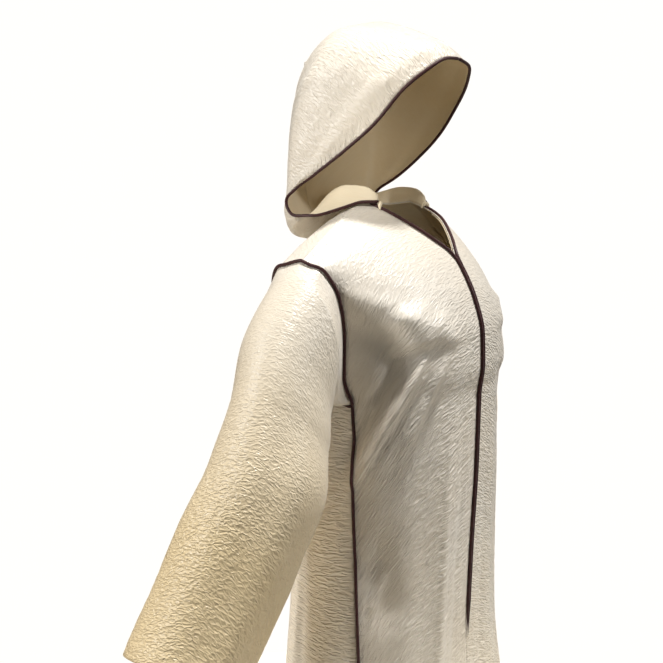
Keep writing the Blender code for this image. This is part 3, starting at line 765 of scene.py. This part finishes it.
def make_front(side, word):
    node = f"front_{word}"
    grid = front_grid(side)
    across, down = lengths_along(grid, 1), lengths_along(grid, 0)
    slanted = down - np.interp(grid[:, :, 2], SLANT_LEVELS, SLANT) * across
    from_armhole = across[:, -1:] - across
    pulled = PULLED + (1 - PULLED) * near_edge_fade(from_armhole, PULLED_WIDTH)
    height = CRINKLE_HEIGHT * crinkle(across, slanted, WRINKLE_LAYERS[node])
    height *= np.where(down < WAIST, pulled, 1) * np.interp(down, TOP_BAND, TOP_HEIGHT)
    height *= near_edge_fade(across) * near_edge_fade(from_armhole)
    height += hem_height(down[-1:] - down)
    make_sheet(node, f"satin_{node}", grid.reshape(-1, 3), grid_quads(*grid.shape[:2]), (across, down),
               slanted, height, (satin, lining), outward=side)
    grids[node] = grid


make_front(RIGHT, "right")
make_front(LEFT, "left")

# %% [markdown]
# The back is one piece too. Above the nape the neck opening parts its rows in two, so its mesh is
# made from two mirrored halves that share their middle points below the nape.

# %% Make the back
BACK_ROWS, BACK_HALF = 260, 66
CENTRE_BACK = 179.9999          # rows whose inner edge is here have no neck opening
LEVEL_SHARE = 0.75              # how much the wrinkles keep level, instead of following the cloth's length
BACK_SWAY = (0.012, 0.25, 0.30)


def make_back():
    numbers = even_rows(BACK_ROWS)
    inner, outer = edge_angles(numbers, "back")
    share = np.linspace(0, 1, BACK_HALF)
    angles = outer[:, None] + (inner - outer)[:, None] * share
    right = body_points(angles, numbers[:, None])
    left = body_points(-angles, numbers[:, None])[:, ::-1]
    joined = inner >= CENTRE_BACK
    right[joined, -1, 0] = 0
    left[joined, 0] = right[joined, -1]
    full = np.concatenate([right, left], axis=1)
    numbers_of = np.arange(full.shape[0] * full.shape[1]).reshape(full.shape[:2])
    numbers_of[joined, BACK_HALF] = numbers_of[joined, BACK_HALF - 1]
    _, corner_rows, corner_columns = grid_quads(*full.shape[:2])
    keep = corner_columns[:, 0] != BACK_HALF - 1
    corner_rows, corner_columns = corner_rows[keep], corner_columns[keep]
    quads = numbers_of[corner_rows, corner_columns]
    across, down = lengths_along(full, 1), lengths_along(full, 0)
    drift = sway(across, down, BACK_SWAY, layer=9)
    slanted = (1 - LEVEL_SHARE) * down - LEVEL_SHARE * full[:, :, 2] + drift
    height = CRINKLE_HEIGHT * crinkle(across, slanted, WRINKLE_LAYERS["back"])
    height *= near_edge_fade(across) * near_edge_fade(across[:, -1:] - across)
    height += hem_height(down[-1:] - down)
    used, compact = np.unique(quads, return_inverse=True)
    faces = (compact.reshape(quads.shape), corner_rows, corner_columns)
    make_sheet("back", "satin_back", full.reshape(-1, 3)[used], faces, (across, down), slanted,
               height.ravel()[used], (satin, lining))
    grids["back_right"], grids["back_left"] = right, left[:, ::-1]


make_back()

# %% [markdown]
# ## The sleeves
#
# The sleeves are wide tubes set into the armholes. Their rings start as the armhole's own line,
# so that the seam fits, and turn into ovals that widen towards the cuff. Each ring begins under
# the arm, where the sleeve's one seam is, so that the wrinkles break there as they do in cloth.

# %% Tables of the sleeves
SLEEVE_COLUMNS = ("x", "y", "z", "lean", "long", "short")
RIGHT_SLEEVE = (
    (-263, 0, -207, 8, 104, 72),
    (-290, 2, -258, 30, 100, 73),
    (-316, -7, -320, 48, 96, 73),
    (-347, -9, -390, 58, 95, 86),
    (-387, 10, -475, 62, 96, 90),
    (-430, 30, -565, 63, 92, 88),
    (-468, 46, -640, 63, 90, 86),
)
LEFT_SLEEVE = (
    (-263, 2, -207, 8, 104, 72),
    (-285, 14, -260, 28, 98, 75),
    (-301, 18, -325, 46, 91, 84),
    (-313, 25, -395, 62, 82, 93),
    (-325, 35, -475, 73, 76, 98),
    (-335, 45, -560, 79, 72, 100),
    (-343, 52, -645, 81, 70, 100),
)
SLEEVE_FOLD_COLUMNS = ("angle", "start", "end", "width", "height")
SLEEVE_FOLDS = (
    (20, 0.30, 1.05, 16, 4),
    (48, 0.20, 1.05, 18, -4),
    (118, 0.35, 1.05, 20, 4),
    (150, 0.15, 0.90, 20, -5),
    (205, 0.30, 1.05, 18, 5),
    (238, 0.10, 1.05, 18, -6),
    (275, 0.35, 1.05, 20, 5),
    (318, 0.12, 0.75, 18, -6),
)


# %% The armhole and the sleeves' folds
UNDERARM_ROW = 9                # the body's row where the armhole ends and the side seam begins
SHOULDER_ROW = 0.02
SEAM_STEPS = 120
FOLD_RISE, FOLD_END = 0.25, 0.1


def armhole_line(count):
    """The right armhole's seam and the directions out of the body along it: from the top down
    the front, under the arm and up the back."""
    halves = []
    for panel, numbers in (("front", np.linspace(SHOULDER_ROW, UNDERARM_ROW, SEAM_STEPS)),
                           ("back", np.linspace(UNDERARM_ROW, SHOULDER_ROW, SEAM_STEPS))):
        angle = edge_angles(numbers, panel)[1]
        line = np.column_stack([body_points(angle, numbers), body_normals(angle, numbers)])
        halves.append(resample(line, count // 2 + 1)[:-1])
    line = np.vstack(halves)
    return line[:, :3], line[:, 3:] / np.linalg.norm(line[:, 3:], axis=1, keepdims=True)


def sleeve_fold(angle, share):
    """How far a sleeve's folds stand out, in millimetres."""
    total = 0
    for values in SLEEVE_FOLDS:
        fold = dict(zip(SLEEVE_FOLD_COLUMNS, values))
        off = (angle - fold["angle"] + 180) % 360 - 180
        rise = np.clip((share - fold["start"]) / FOLD_RISE, 0, 1)
        ease = rise * np.clip((fold["end"] - share) / FOLD_END, 0, 1)
        total = total + fold["height"] * ease * np.exp(-((off / fold["width"]) ** 2))
    return total


# %% Make the sleeves
SLEEVE_RINGS, ROUND_SLEEVE = 146, 166
BRIDGE_RINGS = 14
UNDERARM_ANGLE = -60            # where a sleeve's ring meets the underarm, with 90 at its top
FROM_SEAM = 0.5 * MM
SLEEVE_SLANT, SLEEVE_SWAY = 0.16, (0.010, 0.16, 0.20)
SLEEVE_CRINKLE = 0.8 * CRINKLE_HEIGHT


def bridge(first, last):
    """Rings that lead evenly from the armhole's line to the first ring of the sleeve."""
    share = np.linspace(0, 1, BRIDGE_RINGS, endpoint=False)[:, None, None]
    return first * (1 - share) + last * share


def sleeve_grid(table, side):
    """Rings of a sleeve from the armhole to the cuff, each starting at the top."""
    seam, _ = armhole_line(ROUND_SLEEVE)
    loop = seam + np.array([-1, 0, 0]) * FROM_SEAM
    half = ROUND_SLEEVE // 2
    angles = np.concatenate([np.linspace(90, UNDERARM_ANGLE, half, endpoint=False),
                             np.linspace(UNDERARM_ANGLE, 90 - 360, half, endpoint=False)])
    share = np.linspace(0, 1, SLEEVE_RINGS)
    ring = dict(zip(SLEEVE_COLUMNS, smooth_rows(table, share * (len(table) - 1)).T[:, :, None]))
    lift = sleeve_fold(angles % 360, share[:, None])
    lean, turn = np.radians(ring["lean"]), np.radians(angles)
    upward = np.sin(turn) * (ring["long"] + lift)
    forward = np.cos(turn) * (ring["short"] + lift)
    rings = np.stack([ring["x"] - np.sin(lean) * upward, ring["y"] - forward,
                      ring["z"] + np.cos(lean) * upward], axis=-1) * MM
    return np.concatenate([bridge(loop, rings[0]), rings]) * [side, 1, 1]


def make_sleeve(side, word, table):
    node = f"sleeve_{word}"
    grid = sleeve_grid(table, side)
    grids[node] = grid
    rolled = np.roll(grid, ROUND_SLEEVE // 2, axis=1)
    closed = np.concatenate([rolled, rolled[:, :1]], axis=1)
    across, down = lengths_along(closed, 1), lengths_along(closed, 0)
    slanted = down + SLEEVE_SLANT * across + sway(across, down, SLEEVE_SWAY, layer=7)
    height = SLEEVE_CRINKLE * crinkle(across, slanted, WRINKLE_LAYERS[node])
    height *= near_edge_fade(across) * near_edge_fade(across[:, -1:] - across) * near_edge_fade(down)
    height += hem_height(down[-1:] - down)
    make_sheet(node, f"satin_{node}", rolled.reshape(-1, 3), grid_quads(*rolled.shape[:2], around=True),
               (across, down), slanted, height[:, :-1], (sleeve_satin, lining), outward=-side)


make_sleeve(RIGHT, "right", RIGHT_SLEEVE)
make_sleeve(LEFT, "left", LEFT_SLEEVE)

# %% [markdown]
# ## The hood
#
# The hood is cut in two mirrored halves, joined over the crown and down the back. Its free edge
# runs from the crown past the cheek, and its lower corner is turned out like a shawl before it
# meets the neck. Each row of the table runs from the free edge over a cheek point and a turn point
# to the seam at the back. Where the piping is sewn on, the edge is drawn together into gathers.

# %% Table of the hood
HOOD_ROWS = (
    (0, -126, 231, 0, -86, 264, 0, 40, 302, 172, 249),
    (-42, -124, 226, -60, -82, 250, -82, 50, 277, 172, 224),
    (-74, -108, 206, -96, -62, 222, -116, 62, 236, 181, 176),
    (-100, -79, 174, -118, -30, 184, -124, 88, 188, 182, 126),
    (-113, -40, 127, -128, 12, 134, -124, 108, 130, 177, 78),
    (-124, 8, 87, -134, 50, 86, -122, 118, 78, 172, 34),
    (-131, 62, 50, -134, 86, 44, -112, 128, 30, 162, -6),
    (-131, 104, 24, -128, 118, 12, -96, 138, -14, 150, -40),
    (-130, 119, 2, -122, 126, -16, -82, 138, -48, 136, -60),
    (-134, 98, -19, -118, 112, -36, -76, 124, -54, 118, -58),
    (-131, 62, -17, -120, 84, -20, -80, 104, -34, 102, -42),
    (-110, 24, -4, -104, 48, 12, -80, 80, 2, 90, -14),
    (-95, -10, 7, -92, 20, 31, -74, 62, 22, 82, 6),
    (-87, -26, 7, -84, -6, 29, -75, 48, 24, 74, 10),
    (-82, -30, 8, -80, -20, 20, -76, 38, 19, 68, 10),
)


# %% Smooth lines of the neck and the hood
HOOD_STEPS, ACROSS_HOOD = 290, 80
NECK_ROWS = 4                   # rows that lead from the hood's last row to the neck seam
CURVE_STEPS = 24
FRONT_NECK, BACK_NECK = (1, 0, 30), (0.03, 2, 60)     # the seam's first and last body row, and its steps
ON_SEAM = 0.8 * MM


def through(controls, count):
    """A smooth curve through the control points, evenly resampled."""
    controls = np.array(controls, float)
    padded = np.vstack([2 * controls[0] - controls[1], controls, 2 * controls[-1] - controls[-2]])
    fine = []
    t = np.linspace(0, 1, CURVE_STEPS, endpoint=False)[:, None]
    for i in range(1, len(padded) - 2):
        p0, p1, p2, p3 = padded[i - 1:i + 3]
        fine.append(0.5 * (2 * p1 + (p2 - p0) * t + (2 * p0 - 5 * p1 + 4 * p2 - p3) * t * t
                           + (3 * p1 - p0 - 3 * p2 + p3) * t**3))
    fine.append(padded[-2:-1])
    return resample(np.vstack(fine), count)


def neck_line(count):
    """The right half of the neck seam: from its front corner over the shoulder to the nape."""
    before, behind = np.linspace(*FRONT_NECK), np.linspace(*BACK_NECK)
    line = np.vstack([body_points(edge_angles(before, "front")[0], before),
                      body_points(edge_angles(behind, "back")[0], behind)])
    return resample(line, count) + [0, 0, ON_SEAM]


# %% The hood's points
AT_CENTRE = 2 * MM              # a row whose turn point is this near the middle ends there as it is
MIRROR_STEPS = 241              # a row that is carried on past the middle, and cut off there
HALF_MIRROR = MIRROR_STEPS // 2


def hood_curve(values):
    """One row of the hood, from its free edge to the back seam."""
    edge, cheek, turn = values[0:3], values[3:6], values[6:9]
    back = np.array([0, *values[9:11]])
    if abs(turn[0]) <= AT_CENTRE:
        return through([edge, cheek, turn, back], ACROSS_HOOD)
    curve = through([edge, cheek, turn, back, turn * [-1, 1, 1]], MIRROR_STEPS)
    middle = int(np.argmin(np.abs(curve[HALF_MIRROR:, 0]))) + HALF_MIRROR
    return resample(curve[:middle + 1], ACROSS_HOOD)


def hood_grid():
    """The right half of the hood, its rows from the crown seam to the neck seam."""
    fine = np.linspace(0, len(HOOD_ROWS) - 1, FINE_STEPS)
    edge = smooth_rows(HOOD_ROWS, fine)[:, :3]
    numbers = resample(np.column_stack([edge, fine]), HOOD_STEPS)[:, 3]
    rows = [hood_curve(values) for values in smooth_rows(HOOD_ROWS, numbers) * MM]
    seam = neck_line(ACROSS_HOOD)
    for share in np.linspace(1 / NECK_ROWS, 1, NECK_ROWS):
        rows.append(rows[HOOD_STEPS - 1] * (1 - share) + seam * share)
    grid = np.array(rows)
    down, across = np.gradient(grid, axis=0), np.gradient(grid, axis=1)
    normal = np.cross(across, down)
    normal /= np.maximum(np.linalg.norm(normal, axis=2, keepdims=True), 1e-12)
    grid[0, :, 0] = -CLOTH / 2 * np.abs(normal[0, :, 0])
    grid[:, -1, 0] = -CLOTH / 2 * np.abs(normal[:, -1, 0])
    return grid


# %% Make the hood
HOOD_SLANT, HOOD_SWAY = 0.15, (0.008, 0.12, 0.15)
HOOD_CRINKLE = 0.75 * CRINKLE_HEIGHT
HOOD_EDGE_FADE, SEAM_FADE = 20 * MM, 6 * MM
GATHER_DEPTH, GATHER_WIDTH, GATHER_REACH = 0.9 * MM, 6.5 * MM, 11 * MM
GATHER_DRIFT, GATHER_CHANGE, GATHER_STRENGTH = (0.9, 0.03, 0.02), (0.6, 0.2, 0.03), 0.65


def hood_gathers(across, edge_down):
    """Small folds across the free edge, uneven in width and strength."""
    drift = sway(across, edge_down, GATHER_DRIFT, layer=21)
    strength = GATHER_STRENGTH + sway(across, edge_down, GATHER_CHANGE, layer=23)
    folds = np.sin((edge_down / GATHER_WIDTH + drift) * 2 * math.pi)
    return GATHER_DEPTH * folds * (np.exp(-((across / GATHER_REACH) ** 2)) * strength)


def make_hood(side, word):
    node = f"hood_{word}"
    grid = hood_grid() * [side, 1, 1]
    across, down = lengths_along(grid, 1), lengths_along(grid, 0)
    edge_down = np.repeat(down[:, :1], ACROSS_HOOD, axis=1)
    slanted = down + HOOD_SLANT * across + sway(across, down, HOOD_SWAY, layer=17)
    height = HOOD_CRINKLE * crinkle(across, slanted, WRINKLE_LAYERS[node])
    height = height * near_edge_fade(across, HOOD_EDGE_FADE) + hood_gathers(across, edge_down)
    height *= near_edge_fade(across[:, -1:] - across, SEAM_FADE) * near_edge_fade(down, SEAM_FADE)
    make_sheet(node, f"satin_{node}", grid.reshape(-1, 3), grid_quads(*grid.shape[:2]), (across, down),
               slanted, height, (hood_satin, lining), outward=side)
    grids[node] = grid


make_hood(RIGHT, "right")
make_hood(LEFT, "left")

# %% [markdown]
# ## The neck facings
#
# Inside the neck opening a narrow strip of smooth satin backs the edge, so that the raw seam
# doesn't show. It is made from the front's own points, moved in by the cloth's wall.

# %% Make the facings
FACING_COLUMNS = 6
FACING_WIDTH = 12 * MM
FACING_ROWS = (1.5, 9.3)        # the body's rows between which the facing shows
BEHIND_FRONT = CLOTH + 0.6 * MM
FACING_START = 0.03             # the share of its width that is left free at the edge
FACING_RELIEF = (0.15 * MM, 0.02, 0.015)


def sheet_normals(grid, around=False):
    """The directions out of a sheet at its grid's points."""
    quads = grid_quads(*grid.shape[:2], around)[0]
    return point_normals(grid.reshape(-1, 3), quads).reshape(grid.shape)


def make_facing(side, word):
    grid = grids[f"front_{word}"]
    numbers = even_rows(FRONT_ROWS)
    rows = np.where((numbers >= FACING_ROWS[0]) & (numbers <= FACING_ROWS[1]))[0]
    normals = sheet_normals(grid) * side
    inward = grid[rows, 4] - grid[rows, 0]
    inward /= np.linalg.norm(inward, axis=1, keepdims=True)
    behind = grid[rows, 0] - normals[rows, 2] * BEHIND_FRONT
    share = np.linspace(FACING_START, 1, FACING_COLUMNS)[None, :, None]
    strip = behind[:, None] + inward[:, None] * FACING_WIDTH * share
    across, down = lengths_along(strip, 1), lengths_along(strip, 0)
    height = sway(across, down, FACING_RELIEF, layer=25)
    make_sheet(f"neck_facing_{word}", f"facing_{word}", strip.reshape(-1, 3), grid_quads(*strip.shape[:2]),
               (across, down), down, height, (lining, lining), outward=side)


make_facing(RIGHT, "right")
make_facing(LEFT, "left")

# %% [markdown]
# ## The piping
#
# Piping is a cord wrapped in a bias strip and sewn between or beside the sheets. A curve with a
# round bevel would make a tube at once, but a covered cord isn't perfectly round: the strip creases
# and the stitches pull it in a little. So the tube is a mesh of rings along a path. Before that, the
# path is pushed off the cloth until it lies on it and sinks in only slightly.

# %% Lay the paths on the cloth
PIPING_RADIUS = 2.6 * MM
ON_CLOTH = PIPING_RADIUS + CLOTH / 2 - 0.3 * MM     # pressed a little into the cloth
BESIDE_EDGE = PIPING_RADIUS - 0.6 * MM


def cloth_tree(*sheets):
    """The grids as one surface that can be asked for its nearest point. A grid in a list by
    itself closes round on itself."""
    points, faces = [], []
    for sheet in sheets:
        around = isinstance(sheet, list)
        sheet = sheet[0] if around else sheet
        quads = grid_quads(*sheet.shape[:2], around)[0] + len(points)
        faces += quads.tolist()
        points += sheet.reshape(-1, 3).tolist()
    return BVHTree.FromPolygons(points, faces)


def settled(path, cloth, reach, rounds=20):
    """The path pushed off the cloth until it is this far from it."""
    path = path.copy()
    for _ in range(rounds):
        for i, place in enumerate(path):
            nearest, _, _, distance = cloth.find_nearest(Vector(place))
            if distance < reach:
                path[i] += (place - np.array(nearest)) / max(distance, 1e-9) * (reach - distance)
        path[1:-1] = (path[:-2] + 4 * path[1:-1] + path[2:]) / 6
    return path


# %% Build a cord
CREASE_HEIGHT = 0.045           # of the radius
CREASE_TURN, CREASE_SLANT, CREASE_LENGTH = 1.3, 0.010, 0.006
ASIDE = (0.3, 0.2, 1)           # a direction that no cord starts along
END_STEPS, END_RADIUS = 3, 0.35         # a rounded end: how many steps, and the share of the radius
TAPER_STEPS, THINNEST = 26, 0.12        # the same for a long taper


def cord_mesh(name, path, radii, finish, turns=16):
    """A covered cord along a path: rings of points, closed at both ends."""
    count = len(path)
    along = np.gradient(path, axis=0)
    along /= np.linalg.norm(along, axis=1, keepdims=True)
    side = np.cross(along[0], ASIDE)
    lengths = np.concatenate([[0], np.cumsum(np.linalg.norm(np.diff(path, axis=0), axis=1))])
    angles = np.linspace(0, 2 * math.pi, turns, endpoint=False)
    rings = []
    for i in range(count):
        side = side - along[i] * (side @ along[i])
        side /= np.linalg.norm(side)
        other = np.cross(along[i], side)
        place = np.full(turns, lengths[i] / CREASE_LENGTH)
        creases = waves(angles * CREASE_TURN + lengths[i] / CREASE_SLANT, place, layer=27)
        ring = side * np.cos(angles)[:, None] + other * np.sin(angles)[:, None]
        rings.append(path[i] + ring * (radii[i] * (1 + CREASE_HEIGHT * creases))[:, None])
    points = np.vstack([np.array(rings).reshape(-1, 3), path[:1], path[-1:]])
    quads, corner_rows, corner_columns = grid_quads(count, turns, around=True)
    faces = quads[:, ::-1].tolist()
    first, last = count * turns, count * turns + 1
    faces += [(first, (k + 1) % turns, k) for k in range(turns)]
    base = (count - 1) * turns
    faces += [(last, base + k, base + (k + 1) % turns) for k in range(turns)]
    mesh = bpy.data.meshes.new(name)
    mesh.from_pydata(points.tolist(), [], faces)
    u = corner_columns[:, ::-1] / turns * 2 * math.pi * PIPING_RADIUS
    v = lengths[corner_rows[:, ::-1]]
    corners = np.concatenate([np.stack([u, v], axis=-1).reshape(-1, 2), np.zeros((6 * turns, 2))])
    for key in ("cut", "crinkle"):
        mesh.uv_layers.new(name=key).uv.foreach_set("vector", corners.ravel())
    mesh.materials.append(finish)
    mesh.shade_smooth()
    obj = bpy.data.objects.new(name, mesh)
    bpy.context.scene.collection.objects.link(obj)
    return obj


def rounded_ends(count, taper=0):
    """Radii along a cord with rounded ends, the last stretch tapered to a point."""
    place = np.arange(count)
    radii = np.full(count, PIPING_RADIUS)
    for from_end in (place, count - 1 - place):
        radii *= np.clip(END_RADIUS + from_end / END_STEPS, 0, 1)
    if taper:
        radii *= np.clip((count - 1 - place) / taper, THINNEST, 1)
    return radii


def add_piping(seam, path, taper=0):
    """A run of piping that stands for the CAD node of the same seam."""
    radii = rounded_ends(len(path), taper)
    pieces[f"piping_{seam}"] = cord_mesh(f"cord_{seam}", path, radii, piping_finish)


# %% Piping of the neck and front edges, and of the hood
OPENING_END = -735 * MM
FIRST_ROW = 10                  # the piping starts this many rows below the shoulder
FRONT_STEPS, HOOD_CORD_STEPS = 330, 300
FRONT_STRIP, HOOD_STRIP = 24, 16        # columns of the sheet that a cord is laid on


def front_piping(side, word):
    grid = grids[f"front_{word}"]
    normals = sheet_normals(grid) * side
    inward = grid[:, 1] - grid[:, 0]
    inward /= np.linalg.norm(inward, axis=1, keepdims=True)
    edge = (grid[:, 0] + inward * PIPING_RADIUS + normals[:, 1] * ON_CLOTH)[FIRST_ROW:]
    path = resample(edge, FINE_STEPS)
    path = resample(path[path[:, 2] > OPENING_END], FRONT_STEPS)
    add_piping(f"front_{word}", settled(path, cloth_tree(grid[:, :FRONT_STRIP]), ON_CLOTH), TAPER_STEPS)


def hood_piping(side, word):
    sewn = grids[f"hood_{word}"][:-NECK_ROWS]
    edge, beside = resample(sewn[:, 0], HOOD_CORD_STEPS), resample(sewn[:, 2], HOOD_CORD_STEPS)
    outward = edge - beside
    outward /= np.linalg.norm(outward, axis=1, keepdims=True)
    cloth = cloth_tree(grids[f"hood_{word}"][:, :HOOD_STRIP])
    add_piping(f"hood_{word}", settled(edge + outward * BESIDE_EDGE, cloth, BESIDE_EDGE))


# %% [markdown]
# Over an armhole or a side seam a cord lies on two pieces at once, so its line is set off along the
# outward directions of both. The hanging left sleeve folds over its seam in front of the underarm.
# The cord would be lost in that fold, so there it follows the right one's mirrored run, moved a
# little to the front.

# %% Piping of the armholes and side seams
LEAST_OPENING = 0.3             # stops the line from running far out where one piece folds on the other


def over_seam(points, first, second):
    """The line over a seam between two pieces, from their outward directions."""
    opening = 1 + np.sum(first * second, axis=1, keepdims=True)
    return points + (first + second) / np.maximum(opening, LEAST_OPENING) * ON_CLOTH


ARMHOLE_STEPS, SIDE_STEPS = 320, 420
BELOW_ARMHOLE, SIDE_STRIPS, SIDE_ROUNDS = UNDERARM_ROW - 0.02, (24, 16), 8
UNDERARM_STEPS = (262, 282)     # the steps of the left path over which the mirrored run takes over
UNDERARM_SHIFT = np.array((1.5, -2.5, 0)) * MM
FRONT_SEAM, BACK_SEAM, SLEEVE_TOP = (200, 24), (140, 20), 30     # how much of each sheet is near
armhole_paths = {}


def armhole_piping(side, word):
    sleeve = grids[f"sleeve_{word}"]
    seam, out = armhole_line(ROUND_SLEEVE)
    seam, out = seam * [side, 1, 1], out * [side, 1, 1]
    sleeve_out = sheet_normals(sleeve, around=True)[0] * -side
    middle = seam + np.array([-side, 0, 0]) * CLOTH / 2
    path = over_seam(middle, out, sleeve_out)
    path = np.roll(path, -(len(path) // 2), axis=0)
    path = np.vstack([path, path[:1]])
    front = grids[f"front_{word}"][:FRONT_SEAM[0], -FRONT_SEAM[1]:]
    back = grids[f"back_{word}"][:BACK_SEAM[0], :BACK_SEAM[1]]
    path = settled(resample(path, ARMHOLE_STEPS), cloth_tree([sleeve[:SLEEVE_TOP]], front, back), ON_CLOTH)
    if side == LEFT:
        mirrored = armhole_paths[RIGHT] * [-1, 1, 1] + UNDERARM_SHIFT
        near_underarm = np.interp(np.arange(ARMHOLE_STEPS), UNDERARM_STEPS, (0, 1))[:, None]
        path = path + (mirrored - path) * near_underarm
    armhole_paths[side] = path
    add_piping(f"armhole_{word}", path)


def side_piping(side, word):
    numbers = np.linspace(BELOW_ARMHOLE, LAST_ROW, SEAM_STEPS)
    angle = side * edge_angles(numbers, "front")[1]
    out = body_normals(angle, numbers)
    path = resample(over_seam(body_points(angle, numbers), out, out), SIDE_STEPS)
    front, back = grids[f"front_{word}"], grids[f"back_{word}"]
    cloth = cloth_tree(front[:, -SIDE_STRIPS[0]:], back[:, :SIDE_STRIPS[1]])
    add_piping(f"side_{word}", settled(path, cloth, ON_CLOTH, rounds=SIDE_ROUNDS))


for side, word in ((RIGHT, "right"), (LEFT, "left")):
    front_piping(side, word)
    hood_piping(side, word)
    armhole_piping(side, word)
    side_piping(side, word)
print("piping made:", [name for name in pieces if name.startswith("piping")])

# %% [markdown]
# ## The folded corners at the neck
#
# Where the hood's edge meets the top of the front opening, the seam allowance of both is turned
# under and caught with a few stitches, which leaves a small soft lump of cloth. It is a short cord
# of satin with uneven radii, bent over once and pressed down on the corner.

# %% Make the folded corners
CORNER_TURN = ((-4, 3, -4), (-2, 0, 1), (0, -2, 3.5), (3, -4, 2), (5, -5, -2), (6, -6, -6))    # mm
CORNER_RADII = (1.5, 3.0, 4.2, 3.8, 3.0, 1.2)
CORNER_STEPS = 30
ABOVE_SEAM = 2.5 * MM


def neck_corner(side, word):
    start = neck_line(CORNER_STEPS)[0] * [side, 1, 1] + [0, 0, ABOVE_SEAM]
    turn = np.array(CORNER_TURN) * MM * [-side, 1, 1]
    path = through(start + turn, CORNER_STEPS)
    share = np.linspace(0, 1, CORNER_STEPS)
    radii = np.interp(share, np.linspace(0, 1, len(CORNER_RADII)), CORNER_RADII) * MM
    return cord_mesh(f"corner_fold_{word}", path, radii, lining)


corners = [neck_corner(RIGHT, "right"), neck_corner(LEFT, "left")]
print("folded corners", [corner.name for corner in corners])

# %% [markdown]
# ## What each piece is to the frame
#
# A garment with no moving hard part is one body, so every piece rides on "root". Each piece stands
# for the CAD node of the same name, which is then hidden.

for node, piece in pieces.items():
    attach(piece, "root")
    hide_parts(node)
    if node.startswith("piping"):
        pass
    elif node.startswith("neck_facing"):
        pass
    else:
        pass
for corner in corners:
    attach(corner, "root")
print(len(pieces) + len(corners), "pieces ride on root")

# %% [markdown]
# ## Floor and light
#
# A pale round floor and a pale surround keep the attention on the cloth. The main light stands
# nearly overhead and a little in front, so that it grazes the shoulders and leaves the front below
# the bust in soft shade. A soft side light from behind the right shoulder rakes across the wrinkles,
# and a weak one in front lifts the shade. Two narrow spots are for the hood: one for its side, and
# one for its inside, where real satin lets daylight through. A warm lamp low behind the right side
# gives the glow of light that comes back from the ground. The surround is drawn bright, but it
# lights the cloth only weakly, or it would wash out the wrinkles.

# %% Make the floor
FLOOR_LEVEL, FLOOR_RADIUS, FLOOR_CORNERS = -1.45, 1.2, 96
around_floor = np.linspace(0, 2 * math.pi, FLOOR_CORNERS, endpoint=False)
rim = [(FLOOR_RADIUS * math.cos(a), FLOOR_RADIUS * math.sin(a), FLOOR_LEVEL) for a in around_floor]
floor_mesh = bpy.data.meshes.new("floor")
floor_mesh.from_pydata(rim, [], [tuple(range(FLOOR_CORNERS))])
floor = bpy.data.objects.new("floor", floor_mesh)
bpy.context.scene.collection.objects.link(floor)
floor_finish, _, floor_shader = new_material("pale_floor")
floor_shader.inputs["Base Color"].default_value = (0.90, 0.83, 0.69, 1)
floor_shader.inputs["Roughness"].default_value = 0.9
floor_mesh.materials.append(floor_finish)
print("floor at", FLOOR_LEVEL)

# %% Make the lights
WARM_WHITE, WARM, WARMEST = (1.0, 0.97, 0.92), (1.0, 0.94, 0.83), (1.0, 0.78, 0.48)


def add_light(name, kind, direction, power, **settings):
    """A light turned so that it shines from this direction."""
    light = bpy.data.lights.new(name, kind)
    light.energy = power
    for key, value in settings.items():
        setattr(light, key, value)
    lamp = bpy.data.objects.new(name, light)
    lamp.rotation_mode = "QUATERNION"
    lamp.rotation_quaternion = Vector(direction).to_track_quat("Z", "Y")
    bpy.context.scene.collection.objects.link(lamp)
    return lamp


def add_lamp(name, kind, place, target, power, **settings):
    """A lamp at this place, turned to the target."""
    lamp = add_light(name, kind, Vector(place) - Vector(target), power, **settings)
    lamp.location = place


add_light("key_light", "SUN", (0.13, -0.20, 0.97), power=4.0, angle=math.radians(5))
add_light("side_light", "SUN", (-0.80, 0.48, 0.36), power=2.0, angle=math.radians(12))
add_light("front_light", "SUN", (0.42, -0.76, 0.49), power=0.85, angle=math.radians(4))
add_lamp("hood_light", "SPOT", place=(-1.35, -0.35, 1.1), target=(-0.08, 0.02, 0.15), power=38,
         color=WARM_WHITE, spot_size=math.radians(20), spot_blend=1.0, shadow_soft_size=0.08)
add_lamp("hood_inside_light", "SPOT", place=(-1.15, -0.95, 0.10), target=(0.0, 0.0, 0.08), power=23,
         color=WARM, spot_size=math.radians(13), spot_blend=1.0, shadow_soft_size=0.10)
add_lamp("warm_low_light", "AREA", place=(-1.3, 1.2, -1.2), target=(-0.3, 0.1, -0.6), power=5,
         color=WARMEST, size=0.7)

# %% Make the surround
SURROUND_LIGHT, SURROUND_SEEN = 0.08, 0.98     # how strongly it lights, and how much brighter it looks
bpy.context.scene.view_settings.view_transform = "Standard"     # ivory cloth keeps its warm white
world = bpy.data.worlds.new("surround")
bpy.context.scene.world = world
world.use_nodes = True
surround = world.node_tree.nodes["Background"]
surround.inputs["Color"].default_value = (1.0, 0.97, 0.93, 1)
rays = add_node(world.node_tree, "ShaderNodeLightPath").outputs["Is Camera Ray"]
seen = add_math(world.node_tree, "MULTIPLY", rays, SURROUND_SEEN)
strength = add_math(world.node_tree, "ADD", SURROUND_LIGHT, seen)
world.node_tree.links.new(strength, surround.inputs["Strength"])
print("surround lights with", SURROUND_LIGHT)
